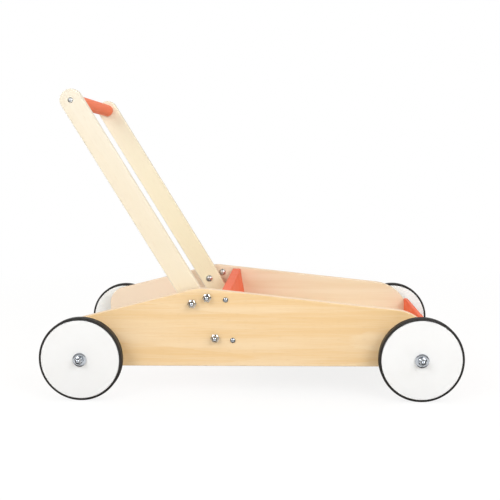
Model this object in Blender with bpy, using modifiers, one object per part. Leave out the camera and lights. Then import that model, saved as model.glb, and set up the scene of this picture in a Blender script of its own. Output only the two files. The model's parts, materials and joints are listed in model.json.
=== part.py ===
"""Baby push walker: a plywood wagon on four rubber-tyred wheels. Its handle turns on two pivot bolts
and is held by a lock bolt in one of two holes in each side panel."""

import math

import bmesh
import bpy
from mathutils import Matrix, Vector

# Lengths are in metres, angles in degrees. +X is forward, +Y is the walker's left and +Z is up.

# Clearances
SEAT_GAP = 0.0003  # between two pieces that touch
RUN_GAP = 0.0003  # between a shank or axle and its hole, on the radius

# Wheels
WHEEL_BASE = 0.443
WHEEL_WIDTH = 0.014
TYRE_RADIUS = 0.055
TYRE_DEPTH = 0.003  # rubber seen outside the disc
TYRE_SHOULDER = 0.0022
RIB_WIDTH = 0.005  # the tyre's inner rib, in a groove round the disc
RIB_DEPTH = 0.0015
DISC_EDGE = 0.0008
BUSH_WALL = 0.002
WHEEL_STEPS = 32

# Axles
AXLE_RADIUS = 0.004
AXLE_CHAMFER = 0.0005
SPACER_LENGTH = 0.012
SPACER_WALL = 0.0027
WASHER_RADIUS = 0.009
WASHER_THICKNESS = 0.0016

# Side panels
BED_WIDTH = 0.243  # clear width between the side panels
PANEL_THICKNESS = 0.012
AXLE_ABOVE_EDGE = 0.0145  # from the panel's lower edge up to the axles
PEAK_ABOVE_EDGE = 0.1045
PEAK_BEHIND_MIDDLE = 0.0667
REAR_SLOPE = 13.9
FRONT_SLOPE = 6.4
REAR_OVERHANG = 0.0197  # from the rear axle to the panel's end
FRONT_OVERHANG = 0.025
PEAK_ROUND = 0.030
REAR_ROUND = 0.024
FRONT_ROUND = 0.060
LOWER_ROUND = 0.012
EDGE_EASE = 0.0012

# Floor and cross boards
FLOOR_THICKNESS = 0.006
FLOOR_ABOVE_AXLE = 0.001
GROOVE_DEPTH = 0.004
REAR_BOARD_THICKNESS = 0.012
REAR_BOARD_LEAN = 9.5
REAR_BOARD_BELOW_PEAK = 0.0065
REAR_BOARD_GAP = 0.0005  # left between the rear board and the arms in their forward place
FRONT_BOARD_THICKNESS = 0.009
FRONT_BOARD_SETBACK = 0.001  # from the panels' front ends
FRONT_BOARD_ABOVE_EDGE = 0.0495
FRONT_BOARD_RAISE = 0.0065
FRONT_BOARD_ROUND = 0.0044  # on both sides of its top edge
FRONT_BOARD_EASE = 0.0006

# Handle
ARM_WIDTH = 0.030
ARM_THICKNESS = 0.012
ARM_LENGTH = 0.3665  # from the pivot to the bar
ARM_LEAN = 31.0
ARM_EASE = 0.0018
BAR_RADIUS = 0.009
BAR_EASE = 0.0005
PIVOT_BEHIND_MIDDLE = 0.0462
PIVOT_ABOVE_EDGE = 0.0381
ARM_SPACER_LENGTH = 0.004
ARM_SPACER_WALL = 0.004
LOCK_RADIUS = 0.055  # from the pivot to the lock holes
LOCK_LEAD = 2.0  # the arms' lock holes lie this far behind their middle line
HANDLE_TILT = 22.5  # between the two lock holes

# Bolts, cap nuts and wood screws
THREAD_RADIUS = 0.003
BOLT_HEAD_RADIUS = 0.00525
BOLT_HEAD_HEIGHT = 0.0033
BOLT_HEAD_RIM = 0.0006
NUT_WALL = 0.0017
NUT_DOME_WALL = 0.0014
NUT_HEX_HEIGHT = 0.005
NUT_DOME_HEIGHT = 0.006
NUT_GRIP = 0.0065  # length of thread inside a nut
SCREW_RADIUS = 0.0018
SCREW_HEAD_RADIUS = 0.0034
SCREW_HEAD_HEIGHT = 0.0018
SCREW_HEAD_FLAT = 0.0020  # radius of the flat top of the head
SCREW_HEAD_RIM = 0.0006
SCREW_LENGTH = 0.035
SCREW_POINT = 0.0054
SCREW_INSET = 0.009  # from a board's edge to its screws
FRONT_SCREW_PITCH = 0.0156

# Facets
ARC_STEP = 12.0
HOLE_STEPS = 12
SMALL_STEPS = 12
ROUND_STEPS = 16
DOME_STEPS = 3
SHOULDER_STEPS = 2
HEX = 6
SMOOTH_ANGLE = 35.0  # edges sharper than this stay sharp in shading
EASE_ANGLE = 40.0  # edges sharper than this are eased
WELD = 1e-6

SIDES = (("right", -1), ("left", 1))
ENDS = (("front", 1), ("rear", -1))

# Heights and places that follow from the sizes
AXLE_HEIGHT = TYRE_RADIUS * math.cos(math.pi / WHEEL_STEPS)
PANEL_EDGE = AXLE_HEIGHT - AXLE_ABOVE_EDGE
PANEL_REAR = -WHEEL_BASE / 2 - REAR_OVERHANG
PANEL_FRONT = WHEEL_BASE / 2 + FRONT_OVERHANG
PEAK_HEIGHT = PANEL_EDGE + PEAK_ABOVE_EDGE
FLOOR_UNDER = AXLE_HEIGHT + AXLE_RADIUS + FLOOR_ABOVE_AXLE
FLOOR_TOP = FLOOR_UNDER + FLOOR_THICKNESS
FRONT_BOARD_FACE = PANEL_FRONT - FRONT_BOARD_SETBACK
FRONT_BOARD_BACK = FRONT_BOARD_FACE - FRONT_BOARD_THICKNESS
FRONT_BOARD_UNDER = PANEL_EDGE + FRONT_BOARD_RAISE
FRONT_BOARD_TOP = PANEL_EDGE + FRONT_BOARD_ABOVE_EDGE

# Layers from the middle outwards, on each side
PANEL_INNER = BED_WIDTH / 2
PANEL_OUTER = PANEL_INNER + PANEL_THICKNESS
WHEEL_INNER = PANEL_OUTER + SEAT_GAP + SPACER_LENGTH + SEAT_GAP
WHEEL_OUTER = WHEEL_INNER + WHEEL_WIDTH
AXLE_SHOULDER = WHEEL_OUTER + SEAT_GAP
AXLE_WASHER = AXLE_SHOULDER + SEAT_GAP
AXLE_NUT = AXLE_WASHER + WASHER_THICKNESS + SEAT_GAP
ARM_OUTER = PANEL_INNER - SEAT_GAP - ARM_SPACER_LENGTH - SEAT_GAP
ARM_INNER = ARM_OUTER - ARM_THICKNESS
PANEL_NUT = PANEL_OUTER + SEAT_GAP

# Radii that follow from walls and clearances
THREAD_HOLE = THREAD_RADIUS + RUN_GAP
AXLE_HOLE = AXLE_RADIUS + RUN_GAP
SCREW_HOLE = SCREW_RADIUS + RUN_GAP
BUSH_RADIUS = AXLE_HOLE + BUSH_WALL
DISC_RADIUS = TYRE_RADIUS - TYRE_DEPTH - SEAT_GAP


def swung(radius, lean):
    """The point at this radius from the handle's pivot, leaning back by this angle."""
    angle = math.radians(lean)
    return (PIVOT[0] - radius * math.sin(angle), PIVOT[1] + radius * math.cos(angle))


# Points of the XZ plane
PIVOT = (-PIVOT_BEHIND_MIDDLE, PANEL_EDGE + PIVOT_ABOVE_EDGE)
LOCK_REAR = swung(LOCK_RADIUS, ARM_LEAN + LOCK_LEAD)
LOCK_FRONT = swung(LOCK_RADIUS, ARM_LEAN + LOCK_LEAD - HANDLE_TILT)
BAR_AXIS = swung(ARM_LENGTH, ARM_LEAN)

# The rear board leans just in front of the arms in their forward place
FORWARD_LEAN = math.radians(ARM_LEAN - HANDLE_TILT)
BOARD_LEAN = math.radians(REAR_BOARD_LEAN)
BOARD_WIDE = REAR_BOARD_THICKNESS / math.cos(BOARD_LEAN)
REAR_BOARD_UNDER = FLOOR_TOP + SEAT_GAP
REAR_BOARD_TOP = PEAK_HEIGHT - REAR_BOARD_BELOW_PEAK


def leaning(x, lean, height):
    """The X at a height on a line that leans back by an angle from a point at the pivot's height."""
    return x - math.tan(lean) * (height - PIVOT[1])


def board_at_pivot(height):
    """The X of the rear board's back face at the pivot's height, if the arms come nearest at this one."""
    arm_front = PIVOT[0] + ARM_WIDTH / 2 / math.cos(FORWARD_LEAN)
    return leaning(arm_front, FORWARD_LEAN, height) + REAR_BOARD_GAP - leaning(0, BOARD_LEAN, height)


BOARD_AT_PIVOT = max(board_at_pivot(REAR_BOARD_UNDER), board_at_pivot(REAR_BOARD_TOP))


def rear_board_back(height):
    """The X of the rear board's back face at a height."""
    return leaning(BOARD_AT_PIVOT, BOARD_LEAN, height)


def rear_screw(height):
    """The point on the rear board's middle plane at a height."""
    return (rear_board_back(height) + BOARD_WIDE / 2, height)


REAR_SCREWS = (
    ("upper", rear_screw(REAR_BOARD_TOP - SCREW_INSET)),
    ("lower", rear_screw(REAR_BOARD_UNDER + SCREW_INSET)),
)
FRONT_SCREW_X = FRONT_BOARD_BACK + FRONT_BOARD_THICKNESS / 2
FRONT_SCREW_LOW = FRONT_BOARD_UNDER + SCREW_INSET
FRONT_SCREWS = (
    ("upper", (FRONT_SCREW_X, FRONT_SCREW_LOW + FRONT_SCREW_PITCH)),
    ("lower", (FRONT_SCREW_X, FRONT_SCREW_LOW)),
)
FLOOR_REAR = rear_board_back(FLOOR_TOP)
FLOOR_FRONT = FRONT_BOARD_BACK - SEAT_GAP

# Colours
PLYWOOD = ("plywood", (0.83, 0.62, 0.38), 0.5, 0.0)
BEECH = ("beech", (0.91, 0.78, 0.57), 0.45, 0.0)
RED_PAINT = ("red paint", (0.83, 0.16, 0.08), 0.4, 0.0)
WHITE_DISC = ("white disc", (0.88, 0.88, 0.86), 0.45, 0.0)
RUBBER = ("rubber", (0.03, 0.03, 0.03), 0.7, 0.0)
ZINC = ("zinc", (0.62, 0.63, 0.64), 0.3, 1.0)
NYLON = ("nylon", (0.75, 0.74, 0.7), 0.5, 0.0)


def cleared_scene():
    """Removes every object and returns the collections for the parts and for the cutters."""
    for obj in list(bpy.data.objects):
        bpy.data.objects.remove(obj)
    made = []
    for name in ("baby push walker", "cutters"):
        collection = bpy.data.collections.new(name)
        bpy.context.scene.collection.children.link(collection)
        made.append(collection)
    return made


PARTS, CUTTERS = cleared_scene()


def material(look):
    name, colour, roughness, metallic = look
    if name in bpy.data.materials:
        return bpy.data.materials[name]
    made = bpy.data.materials.new(name)
    made.use_nodes = True
    shader = made.node_tree.nodes["Principled BSDF"]
    shader.inputs["Base Color"].default_value = (*colour, 1.0)
    shader.inputs["Roughness"].default_value = roughness
    shader.inputs["Metallic"].default_value = metallic
    made.diffuse_color = (*colour, 1.0)
    return made


def axis_empty(name, x, y, z):
    """An empty on a joint's axis, which carries the pieces that turn about it."""
    empty = bpy.data.objects.new(name, None)
    empty.location = (x, y, z)
    PARTS.objects.link(empty)
    return empty


def add_part(name, mesh, look, place, turn=(0, 0, 0), parent=None):
    """A named piece at a place in the walker's frame, carried by its parent."""
    obj = bpy.data.objects.new(name, mesh)
    PARTS.objects.link(obj)
    if not mesh.materials:
        mesh.materials.append(material(look))
    obj.rotation_euler = turn
    obj.location = Vector(place)
    if parent:
        obj.parent = parent
        obj.location -= parent.location
    return obj


def outward(side, spin=0.0):
    """The rotation that turns local +Z outwards on a side, after a spin about the Y axis."""
    return (-side * math.pi / 2, spin, 0)


def smooth(mesh):
    mesh.shade_smooth()
    mesh.set_sharp_from_angle(angle=math.radians(SMOOTH_ANGLE))
    return mesh


def mesh_of(obj):
    """The object's evaluated mesh, welded. The object itself is removed."""
    graph = bpy.context.evaluated_depsgraph_get()
    mesh = bpy.data.meshes.new_from_object(obj.evaluated_get(graph))
    shape = bmesh.new()
    shape.from_mesh(mesh)
    bmesh.ops.remove_doubles(shape, verts=shape.verts, dist=WELD)
    shape.to_mesh(mesh)
    shape.free()
    bpy.data.objects.remove(obj)
    return mesh


def rounded(corners):
    """The outline through corners (x, z, radius), counterclockwise, each rounded by an arc."""
    outline = []
    for index, (x, z, radius) in enumerate(corners):
        corner = Vector((x, z))
        back = (Vector(corners[index - 1][:2]) - corner).normalized()
        ahead = (Vector(corners[(index + 1) % len(corners)][:2]) - corner).normalized()
        half = back.angle(ahead) / 2
        centre = corner + (back + ahead).normalized() * (radius / math.sin(half))
        start = corner + back * (radius / math.tan(half)) - centre
        turn = math.pi - 2 * half
        steps = max(1, math.ceil(math.degrees(turn) / ARC_STEP))
        for step in range(steps + 1):
            point = centre + Matrix.Rotation(turn * step / steps, 2) @ start
            if not outline or (point - outline[-1]).length > WELD:
                outline.append(point)
    if (outline[0] - outline[-1]).length < WELD:
        outline.pop()
    return outline


def slab(outline, thickness):
    """A mesh with this outline in local XY and this thickness along local Z."""
    curve = bpy.data.curves.new("outline", "CURVE")
    curve.dimensions = "2D"
    curve.fill_mode = "BOTH"
    curve.extrude = thickness / 2
    spline = curve.splines.new("POLY")
    spline.points.add(len(outline) - 1)
    for point, (x, z) in zip(spline.points, outline):
        point.co = (x, z, 0, 1)
    spline.use_cyclic_u = True
    drawn = bpy.data.objects.new("outline", curve)
    PARTS.objects.link(drawn)
    return mesh_of(drawn)


def ease_edges(obj, width, segments=1):
    bevel = obj.modifiers.new("eased edges", "BEVEL")
    bevel.width = width
    bevel.segments = segments
    bevel.limit_method = "ANGLE"
    bevel.angle_limit = math.radians(EASE_ANGLE)


def cut(obj, mesh):
    """Takes a closed mesh, given in the walker's frame, out of an object."""
    tool = bpy.data.objects.new(obj.name + "_cutter", mesh)
    tool.hide_render = True
    tool.display_type = "WIRE"
    CUTTERS.objects.link(tool)
    boolean = obj.modifiers.new("cut", "BOOLEAN")
    boolean.operation = "DIFFERENCE"
    boolean.solver = "EXACT"
    boolean.object = tool


def drill(obj, holes):
    """Drills round holes along Y. Each is ((x, z), radius, first y, last y)."""
    shape = bmesh.new()
    for (x, z), radius, first, last in holes:
        place = Matrix.Translation((x, (first + last) / 2, z)) @ Matrix.Rotation(math.pi / 2, 4, "X")
        bmesh.ops.create_cone(
            shape,
            cap_ends=True,
            segments=HOLE_STEPS,
            radius1=radius,
            radius2=radius,
            depth=abs(last - first),
            matrix=place,
        )
    mesh = bpy.data.meshes.new(obj.name + "_holes")
    shape.to_mesh(mesh)
    shape.free()
    cut(obj, mesh)


def turned(profile, steps, closed):
    """A mesh turned about local Z from (radius, height) points that run down the outer side.
    A closed profile makes a ring, and an open one starts and ends on the axis."""
    mesh = bpy.data.meshes.new("profile")
    count = len(profile)
    edges = [(i, (i + 1) % count) for i in range(count if closed else count - 1)]
    mesh.from_pydata([(radius, 0, height) for radius, height in profile], edges, [])
    obj = bpy.data.objects.new("profile", mesh)
    PARTS.objects.link(obj)
    screw = obj.modifiers.new("turn", "SCREW")
    screw.steps = steps
    screw.render_steps = steps
    screw.use_merge_vertices = True
    screw.merge_threshold = WELD
    screw.use_smooth_shade = False
    return smooth(mesh_of(obj))


def arc(centre, radius, first, last, steps):
    """Points (radius, height) along an arc of a turned profile, from one angle to another."""
    points = []
    for step in range(steps + 1):
        angle = math.radians(first + (last - first) * step / steps)
        points.append((centre[0] + radius * math.cos(angle), centre[1] + radius * math.sin(angle)))
    return points


def sleeve(inner, outer, length, steps=HOLE_STEPS):
    """A plain ring from height 0 up to its length."""
    return turned([(outer, length), (outer, 0), (inner, 0), (inner, length)], steps, closed=True)


def tyre_mesh():
    half = WHEEL_WIDTH / 2
    inner = TYRE_RADIUS - TYRE_DEPTH
    shoulder = TYRE_RADIUS - TYRE_SHOULDER
    profile = arc((shoulder, half - TYRE_SHOULDER), TYRE_SHOULDER, 90, 0, SHOULDER_STEPS)
    profile += arc((shoulder, TYRE_SHOULDER - half), TYRE_SHOULDER, 0, -90, SHOULDER_STEPS)
    profile += [(inner, -half), (inner, -RIB_WIDTH / 2), (inner - RIB_DEPTH, -RIB_WIDTH / 2)]
    profile += [(inner - RIB_DEPTH, RIB_WIDTH / 2), (inner, RIB_WIDTH / 2), (inner, half)]
    return turned(profile, WHEEL_STEPS, closed=True)


def disc_mesh():
    half = WHEEL_WIDTH / 2
    groove = DISC_RADIUS - RIB_DEPTH
    lip = RIB_WIDTH / 2 + SEAT_GAP
    bore = BUSH_RADIUS + SEAT_GAP
    upper = [(DISC_RADIUS - DISC_EDGE, half), (DISC_RADIUS, half - DISC_EDGE)]
    upper += [(DISC_RADIUS, lip), (groove, lip)]
    lower = [(radius, -height) for radius, height in reversed(upper)]
    return turned(upper + lower + [(bore, -half), (bore, half)], WHEEL_STEPS, closed=True)


def bolt_mesh(length):
    """A round-headed bolt: its head stands up from height 0 and its shank hangs below."""
    rise = BOLT_HEAD_HEIGHT - BOLT_HEAD_RIM
    dome = (BOLT_HEAD_RADIUS**2 + rise**2) / (2 * rise)
    spread = math.degrees(math.asin(BOLT_HEAD_RADIUS / dome))
    profile = arc((0, BOLT_HEAD_HEIGHT - dome), dome, 90, 90 - spread, DOME_STEPS)
    profile[0] = (0, BOLT_HEAD_HEIGHT)
    profile += [(BOLT_HEAD_RADIUS, 0), (THREAD_RADIUS, 0), (THREAD_RADIUS, -length), (0, -length)]
    return turned(profile, SMALL_STEPS, closed=False)


def wood_screw_mesh():
    """A round-headed wood screw, standing like a bolt, with a pointed end."""
    profile = [(0, SCREW_HEAD_HEIGHT), (SCREW_HEAD_FLAT, SCREW_HEAD_HEIGHT)]
    profile += [(SCREW_HEAD_RADIUS, SCREW_HEAD_RIM), (SCREW_HEAD_RADIUS, 0), (SCREW_RADIUS, 0)]
    profile += [(SCREW_RADIUS, SCREW_POINT - SCREW_LENGTH), (0, -SCREW_LENGTH)]
    return turned(profile, SMALL_STEPS, closed=False)


def cap_nut_mesh(barrel=0.0):
    """A domed hexagon nut that seats at height 0. A barrel, where it has one, reaches down
    into the panel in place of the bolt's thread."""
    flats = THREAD_HOLE + NUT_WALL
    dome_radius = THREAD_HOLE + NUT_DOME_WALL
    shape = bmesh.new()
    bmesh.ops.create_cone(
        shape,
        cap_ends=True,
        segments=HEX,
        radius1=flats / math.cos(math.pi / HEX),
        radius2=flats / math.cos(math.pi / HEX),
        depth=NUT_HEX_HEIGHT,
        matrix=Matrix.Translation((0, 0, NUT_HEX_HEIGHT / 2)),
    )
    hexagon = bpy.data.meshes.new("hexagon")
    shape.to_mesh(hexagon)
    shape.free()
    nut = bpy.data.objects.new("nut", hexagon)
    PARTS.objects.link(nut)
    dome = []
    for step in range(DOME_STEPS + 1):
        angle = math.pi / 2 * (1 - step / DOME_STEPS)
        dome.append((dome_radius * math.cos(angle), NUT_HEX_HEIGHT + NUT_DOME_HEIGHT * math.sin(angle)))
    dome[0] = (0, NUT_HEX_HEIGHT + NUT_DOME_HEIGHT)
    sunk = NUT_HEX_HEIGHT / 2
    pieces = [("UNION", turned(dome + [(dome_radius, sunk), (0, sunk)], SMALL_STEPS, closed=False))]
    if barrel:
        stem = [(0, sunk), (THREAD_RADIUS, sunk), (THREAD_RADIUS, -barrel), (0, -barrel)]
        pieces.append(("UNION", turned(stem, SMALL_STEPS, closed=False)))
    else:
        depth = NUT_GRIP + SEAT_GAP
        bore = [(0, depth), (THREAD_HOLE, depth), (THREAD_HOLE, -sunk), (0, -sunk)]
        pieces.append(("DIFFERENCE", turned(bore, SMALL_STEPS, closed=False)))
    tools = []
    for operation, mesh in pieces:
        tool = bpy.data.objects.new("nut_tool", mesh)
        CUTTERS.objects.link(tool)
        tools.append(tool)
        boolean = nut.modifiers.new(operation, "BOOLEAN")
        boolean.operation = operation
        boolean.solver = "EXACT"
        boolean.object = tool
    made = smooth(mesh_of(nut))
    for tool in tools:
        bpy.data.objects.remove(tool)
    return made


def panel_outline():
    rear_drop = (PANEL_REAR + PEAK_BEHIND_MIDDLE) * math.tan(math.radians(REAR_SLOPE))
    front_drop = (PANEL_FRONT + PEAK_BEHIND_MIDDLE) * math.tan(math.radians(FRONT_SLOPE))
    return rounded([
        (PANEL_REAR, PANEL_EDGE, LOWER_ROUND),
        (PANEL_FRONT, PANEL_EDGE, LOWER_ROUND),
        (PANEL_FRONT, PEAK_HEIGHT - front_drop, FRONT_ROUND),
        (-PEAK_BEHIND_MIDDLE, PEAK_HEIGHT, PEAK_ROUND),
        (PANEL_REAR, PEAK_HEIGHT + rear_drop, REAR_ROUND),
    ])


def box_mesh(low, high):
    shape = bmesh.new()
    low = Vector(low)
    high = Vector(high)
    size = Matrix.Diagonal((*(high - low), 1))
    bmesh.ops.create_cube(shape, size=1, matrix=Matrix.Translation((low + high) / 2) @ size)
    mesh = bpy.data.meshes.new("box")
    shape.to_mesh(mesh)
    shape.free()
    return mesh


def flat_board(name, outline, look, ease, middle=0.0, width=None):
    """A board whose outline lies in the XZ plane. Its width runs along Y."""
    mesh = slab(outline, width or BED_WIDTH - 2 * SEAT_GAP)
    obj = add_part(name, mesh, look, (0, middle, 0), (math.pi / 2, 0, 0))
    ease_edges(obj, ease)
    return obj


def screw_holes(places, side, start):
    """The holes of a board's screws, from a Y inside the panel to the screws' points."""
    end = PANEL_OUTER + SEAT_GAP - SCREW_LENGTH - RUN_GAP
    return [(place, SCREW_HOLE, side * start, side * end) for _, place in places]


def make_panel(name, side):
    panel = flat_board(
        f"side_panel_{name}", panel_outline(), PLYWOOD, EDGE_EASE,
        middle=side * (PANEL_INNER + PANEL_OUTER) / 2, width=PANEL_THICKNESS,
    )
    through = side * (PANEL_INNER - PANEL_THICKNESS), side * (PANEL_OUTER + PANEL_THICKNESS)
    holes = [((end * WHEEL_BASE / 2, AXLE_HEIGHT), AXLE_HOLE, *through) for _, end in ENDS]
    holes += [(place, THREAD_HOLE, *through) for place in (PIVOT, LOCK_REAR, LOCK_FRONT)]
    holes += [(place, SCREW_HOLE, *through) for _, place in REAR_SCREWS + FRONT_SCREWS]
    drill(panel, holes)
    ends = sorted((side * (PANEL_INNER - GROOVE_DEPTH), side * (PANEL_INNER + GROOVE_DEPTH)))
    low = (FLOOR_REAR - SEAT_GAP, ends[0], FLOOR_UNDER - SEAT_GAP)
    high = (FLOOR_FRONT + SEAT_GAP, ends[1], FLOOR_TOP + SEAT_GAP)
    cut(panel, box_mesh(low, high))


def make_boards():
    under, top = REAR_BOARD_UNDER, REAR_BOARD_TOP
    rear_outline = [
        Vector((rear_board_back(under), under)),
        Vector((rear_board_back(under) + BOARD_WIDE, under)),
        Vector((rear_board_back(top) + BOARD_WIDE, top)),
        Vector((rear_board_back(top), top)),
    ]
    rear = flat_board("rear_board", rear_outline, RED_PAINT, EDGE_EASE)
    front_outline = rounded([
        (FRONT_BOARD_BACK, FRONT_BOARD_UNDER, 0),
        (FRONT_BOARD_FACE, FRONT_BOARD_UNDER, 0),
        (FRONT_BOARD_FACE, FRONT_BOARD_TOP, FRONT_BOARD_ROUND),
        (FRONT_BOARD_BACK, FRONT_BOARD_TOP, FRONT_BOARD_ROUND),
    ])
    front = flat_board("front_board", front_outline, RED_PAINT, FRONT_BOARD_EASE)
    for board, places in ((rear, REAR_SCREWS), (front, FRONT_SCREWS)):
        holes = []
        for _, side in SIDES:
            holes += screw_holes(places, side, PANEL_INNER + SEAT_GAP)
        drill(board, holes)
    floor_outline = [
        Vector((FLOOR_REAR, FLOOR_UNDER)),
        Vector((FLOOR_FRONT, FLOOR_UNDER)),
        Vector((FLOOR_FRONT, FLOOR_TOP)),
        Vector((FLOOR_REAR, FLOOR_TOP)),
    ]
    floor_width = BED_WIDTH + 2 * (GROOVE_DEPTH - SEAT_GAP)
    floor_mesh = slab(floor_outline, floor_width)
    add_part("floor_board", floor_mesh, PLYWOOD, (0, 0, 0), (math.pi / 2, 0, 0))


def make_axle(name, end):
    """A steel rod with a shoulder near each end, where a thinner thread takes the washer and nut."""
    reach = AXLE_NUT + NUT_GRIP
    shoulder = AXLE_SHOULDER
    outer = [
        (0, reach),
        (THREAD_RADIUS - AXLE_CHAMFER, reach),
        (THREAD_RADIUS, reach - AXLE_CHAMFER),
        (THREAD_RADIUS, shoulder),
        (AXLE_RADIUS - AXLE_CHAMFER, shoulder),
        (AXLE_RADIUS, shoulder - AXLE_CHAMFER),
    ]
    profile = outer + [(radius, -height) for radius, height in reversed(outer)]
    mesh = turned(profile, HOLE_STEPS, closed=False)
    add_part(f"{name}_axle", mesh, ZINC, (end * WHEEL_BASE / 2, 0, AXLE_HEIGHT), outward(1))


def make_wheel(meshes, end_name, end, side_name, side):
    """One wheel with its spacer, washer and nut. The disc, bush and tyre turn on the axle."""
    corner = f"{end_name}_{side_name}"
    x = end * WHEEL_BASE / 2
    middle = side * (WHEEL_INNER + WHEEL_OUTER) / 2
    hub = axis_empty(f"wheel_axis_{corner}", x, middle, AXLE_HEIGHT)
    flat_down = outward(side, math.pi / WHEEL_STEPS)
    centre = (x, middle, AXLE_HEIGHT)
    add_part(f"wheel_disc_{corner}", meshes["disc"], WHITE_DISC, centre, flat_down, hub)
    add_part(f"tyre_{corner}", meshes["tyre"], RUBBER, centre, flat_down, hub)
    bush = add_part(f"hub_bush_{corner}", meshes["bush"], NYLON, centre, outward(side), hub)
    bush.location.y = side * -WHEEL_WIDTH / 2
    stack = (
        ("axle_spacer", "spacer", NYLON, PANEL_OUTER + SEAT_GAP),
        ("axle_washer", "washer", ZINC, AXLE_WASHER),
        ("axle_cap_nut", "nut", ZINC, AXLE_NUT),
    )
    for piece, mesh, look, layer in stack:
        add_part(f"{piece}_{corner}", meshes[mesh], look, (x, side * layer, AXLE_HEIGHT), outward(side))


def make_wheels(nut):
    meshes = {
        "disc": disc_mesh(),
        "tyre": tyre_mesh(),
        "bush": sleeve(AXLE_HOLE, BUSH_RADIUS, WHEEL_WIDTH, ROUND_STEPS),
        "spacer": sleeve(AXLE_HOLE, AXLE_HOLE + SPACER_WALL, SPACER_LENGTH),
        "washer": sleeve(THREAD_HOLE, WASHER_RADIUS, WASHER_THICKNESS, ROUND_STEPS),
        "nut": nut,
    }
    for end_name, end in ENDS:
        make_axle(end_name, end)
        for side_name, side in SIDES:
            make_wheel(meshes, end_name, end, side_name, side)


def make_arm(name, side, parent):
    half = ARM_WIDTH / 2
    outline = rounded([
        (-half, -half, half),
        (half, -half, half),
        (half, ARM_LENGTH + half, half),
        (-half, ARM_LENGTH + half, half),
    ])
    place = (PIVOT[0], side * (ARM_INNER + ARM_OUTER) / 2, PIVOT[1])
    turn = (math.pi / 2, -math.radians(ARM_LEAN), 0)
    arm = add_part(f"handle_arm_{name}", slab(outline, ARM_THICKNESS), BEECH, place, turn, parent)
    ease_edges(arm, ARM_EASE, segments=2)
    through = side * (ARM_INNER - ARM_THICKNESS), side * (ARM_OUTER + ARM_THICKNESS)
    holes = [(place, THREAD_HOLE, *through) for place in (PIVOT, LOCK_REAR)]
    drill(arm, holes + [(BAR_AXIS, SCREW_HOLE, *through)])


def make_handle(screw):
    """The two arms, the bar between them, its screws and the lock bolts, which the arms carry."""
    pivot = axis_empty("handle_axis", PIVOT[0], 0, PIVOT[1])
    half = ARM_INNER - SEAT_GAP
    rim = BAR_RADIUS - BAR_EASE
    profile = [(0, half), (rim, half), (BAR_RADIUS, half - BAR_EASE)]
    profile += [(radius, -height) for radius, height in reversed(profile)]
    bar_mesh = turned(profile, ROUND_STEPS, closed=False)
    bar = add_part("handle_bar", bar_mesh, RED_PAINT, (BAR_AXIS[0], 0, BAR_AXIS[1]), outward(1), pivot)
    screw_end = ARM_OUTER + SEAT_GAP - SCREW_LENGTH - RUN_GAP
    drill(bar, [(BAR_AXIS, SCREW_HOLE, side * ARM_OUTER, side * screw_end) for _, side in SIDES])
    lock = bolt_mesh(SEAT_GAP + ARM_THICKNESS)
    for name, side in SIDES:
        make_arm(name, side, pivot)
        head = (BAR_AXIS[0], side * (ARM_OUTER + SEAT_GAP), BAR_AXIS[1])
        add_part(f"bar_screw_{name}", screw, ZINC, head, outward(side), pivot)
        seat = (LOCK_REAR[0], side * (ARM_INNER - SEAT_GAP), LOCK_REAR[1])
        add_part(f"lock_bolt_{name}", lock, ZINC, seat, outward(-side), pivot)


def make_fasteners(nut, screw):
    """The pivot bolts, the bolts in the spare lock holes, their nuts and the boards' screws."""
    to_nut = PANEL_NUT + NUT_GRIP
    pivot_bolt = bolt_mesh(to_nut - ARM_INNER + SEAT_GAP)
    parked_bolt = bolt_mesh(to_nut - PANEL_INNER + SEAT_GAP)
    lock_nut = cap_nut_mesh(barrel=PANEL_THICKNESS)
    spacer = sleeve(THREAD_HOLE, THREAD_HOLE + ARM_SPACER_WALL, ARM_SPACER_LENGTH)
    for name, side in SIDES:
        pieces = (
            ("pivot_bolt", pivot_bolt, PIVOT, ARM_INNER - SEAT_GAP, -side),
            ("arm_spacer", spacer, PIVOT, ARM_OUTER + SEAT_GAP, side),
            ("pivot_cap_nut", nut, PIVOT, PANEL_NUT, side),
            ("lock_cap_nut", lock_nut, LOCK_REAR, PANEL_NUT, side),
            ("parked_bolt", parked_bolt, LOCK_FRONT, PANEL_INNER - SEAT_GAP, -side),
            ("parked_cap_nut", nut, LOCK_FRONT, PANEL_NUT, side),
        )
        for piece, mesh, (x, z), layer, facing in pieces:
            look = NYLON if piece == "arm_spacer" else ZINC
            add_part(f"{piece}_{name}", mesh, look, (x, side * layer, z), outward(facing))
        for board, places in (("rear", REAR_SCREWS), ("front", FRONT_SCREWS)):
            for level, (x, z) in places:
                head = (x, side * PANEL_NUT, z)
                add_part(f"{board}_board_screw_{level}_{name}", screw, ZINC, head, outward(side))


def main():
    nut = cap_nut_mesh()
    screw = wood_screw_mesh()
    for name, side in SIDES:
        make_panel(name, side)
    make_boards()
    make_wheels(nut)
    make_handle(screw)
    make_fasteners(nut, screw)


main()
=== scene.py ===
# %% [markdown]
# # A baby push walker in plywood, red paint and zinc
#
# The walker is a low plywood wagon that a child pushes from behind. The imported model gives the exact
# places of all its pieces, but with few facets. In this lesson every piece is modelled again in Blender
# with round edges and fine detail, gets a finish made of shader nodes, and is hung on the body that it
# moves with.

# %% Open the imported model
import json
import math

import bmesh
import bpy
from mathutils import Matrix, Vector

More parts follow.
